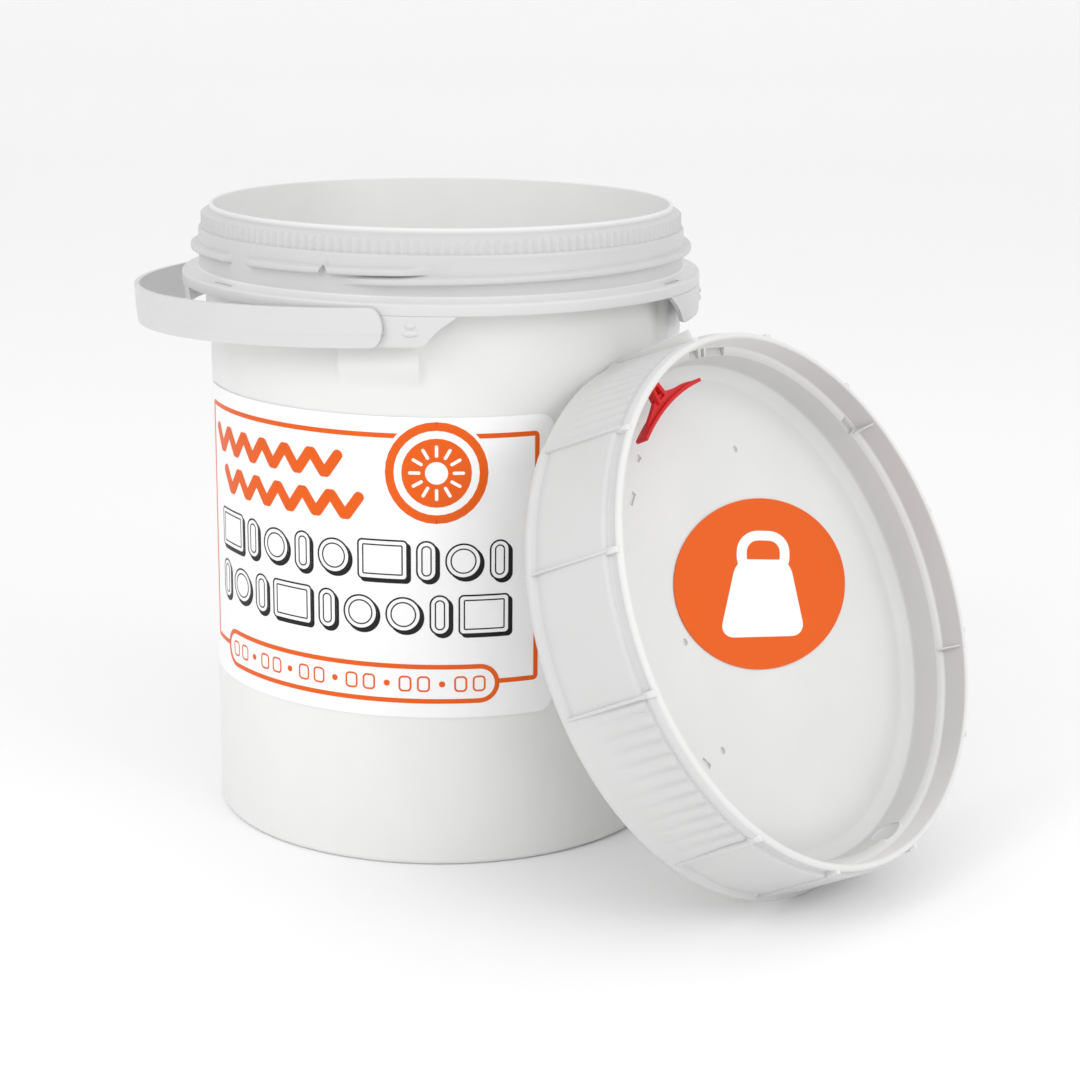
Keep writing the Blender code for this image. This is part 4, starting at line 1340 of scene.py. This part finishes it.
class PAIL_OT_studio(bpy.types.Operator):
    """Set up the pale floor, the soft light and the camera"""

    bl_idname = "pail.studio"
    bl_label = "Studio"

    def execute(self, context):
        settings = context.scene.studio_settings
        reach = FLOOR_REACH
        floor = draw("floor", soften([(-reach, 0.0, 0.0), (reach, 0.0, FLOOR_BEND),
                                      (reach, reach, 0.0)]))
        edit(floor)
        bpy.ops.mesh.extrude_region_move(
            TRANSFORM_OT_translate={"value": (0.0, 2.0 * reach, 0.0)})
        stop_editing()
        face_outwards(floor)
        turn(floor, 90.0, (reach, 0.0, 0.0))
        smooth(floor, FLOOR_SHARP)
        material, shader = new_material("floor")
        links = material.node_tree.links
        links.new(tint(material, noise(material, 1.5, 2.0), settings.floor, 0.995),
                  shader.inputs["Base Color"])
        shader.inputs["Roughness"].default_value = 0.85
        floor.data.materials.append(material)
        world = bpy.data.worlds.new("studio")
        world.use_nodes = True
        links = world.node_tree.links
        sky = world.node_tree.nodes["Background"]
        sky.inputs["Color"].default_value = (1.0, 1.0, 1.0, 1.0)
        place = add_node(world, "ShaderNodeTexCoord")
        parts = add_node(world, "ShaderNodeSeparateXYZ")
        links.new(place.outputs["Generated"], parts.inputs["Vector"])
        total = add_node(world, "ShaderNodeMath")
        overhead = spread(world, parts.outputs["Z"], 0.15, 1.0, settings.sky,
                          settings.sky + settings.top)
        behind = spread(world, parts.outputs["Y"], 0.0, -1.0, 0.0, settings.front)
        links.new(overhead, total.inputs[0])
        links.new(behind, total.inputs[1])
        links.new(total.outputs["Value"], sky.inputs["Strength"])
        context.scene.world = world
        lamps = [soft_lamp("left lamp", settings.left, *LEFT_LAMP),
                 soft_lamp("right lamp", settings.right, *RIGHT_LAMP)]
        camera = bpy.data.cameras.new("camera")
        camera.lens = LENS
        camera.sensor_width = 36.0
        eye = bpy.data.objects.new("camera", camera)
        context.scene.collection.objects.link(eye)
        tilt = Matrix.Rotation(math.radians(CAMERA_TILT), 4, "X")
        roll = Matrix.Rotation(math.radians(CAMERA_ROLL), 4, "Z")
        eye.matrix_world = Matrix.Translation(CAMERA_PLACE) @ tilt @ roll
        context.scene.camera = eye
        context.scene.view_settings.view_transform = "Standard"
        return {"FINISHED"}


class PAIL_PT_panel(bpy.types.Panel):
    """The pail's pieces and their settings, in the sidebar"""

    bl_label = "Screw-top pail"
    bl_idname = "PAIL_PT_panel"
    bl_space_type = "VIEW_3D"
    bl_region_type = "UI"
    bl_category = "Pail"

    def draw(self, context):
        groups = ((context.scene.pail_settings, ("pail.body", "pail.handle")),
                  (context.scene.label_settings, ("pail.label",)),
                  (context.scene.lid_settings, ("pail.lid", "pail.latch", "pail.sticker")),
                  (context.scene.studio_settings, ("pail.studio",)))
        for settings, operators in groups:
            box = self.layout.box()
            for name in settings.__annotations__:
                box.prop(settings, name)
            for operator in operators:
                box.operator(operator)


SETTINGS = (("pail_settings", PailSettings), ("label_settings", LabelSettings),
            ("lid_settings", LidSettings), ("studio_settings", StudioSettings))
OPERATORS = (PAIL_OT_body, PAIL_OT_handle, PAIL_OT_label, PAIL_OT_lid, PAIL_OT_latch,
             PAIL_OT_sticker, PAIL_OT_studio)


def register():
    for name, group in SETTINGS:
        bpy.utils.register_class(group)
        setattr(bpy.types.Scene, name, bpy.props.PointerProperty(type=group))
    for kind in OPERATORS + (PAIL_PT_panel,):
        bpy.utils.register_class(kind)


def unregister():
    for kind in reversed(OPERATORS + (PAIL_PT_panel,)):
        bpy.utils.unregister_class(kind)
    for name, group in reversed(SETTINGS):
        delattr(bpy.types.Scene, name)
        bpy.utils.unregister_class(group)


def main():
    register()
    bpy.ops.pail.body()
    bpy.ops.pail.handle()
    bpy.ops.pail.label()
    bpy.ops.pail.lid()
    bpy.ops.pail.latch()
    bpy.ops.pail.sticker()
    bpy.ops.pail.studio()


if __name__ == "__main__":
    main()
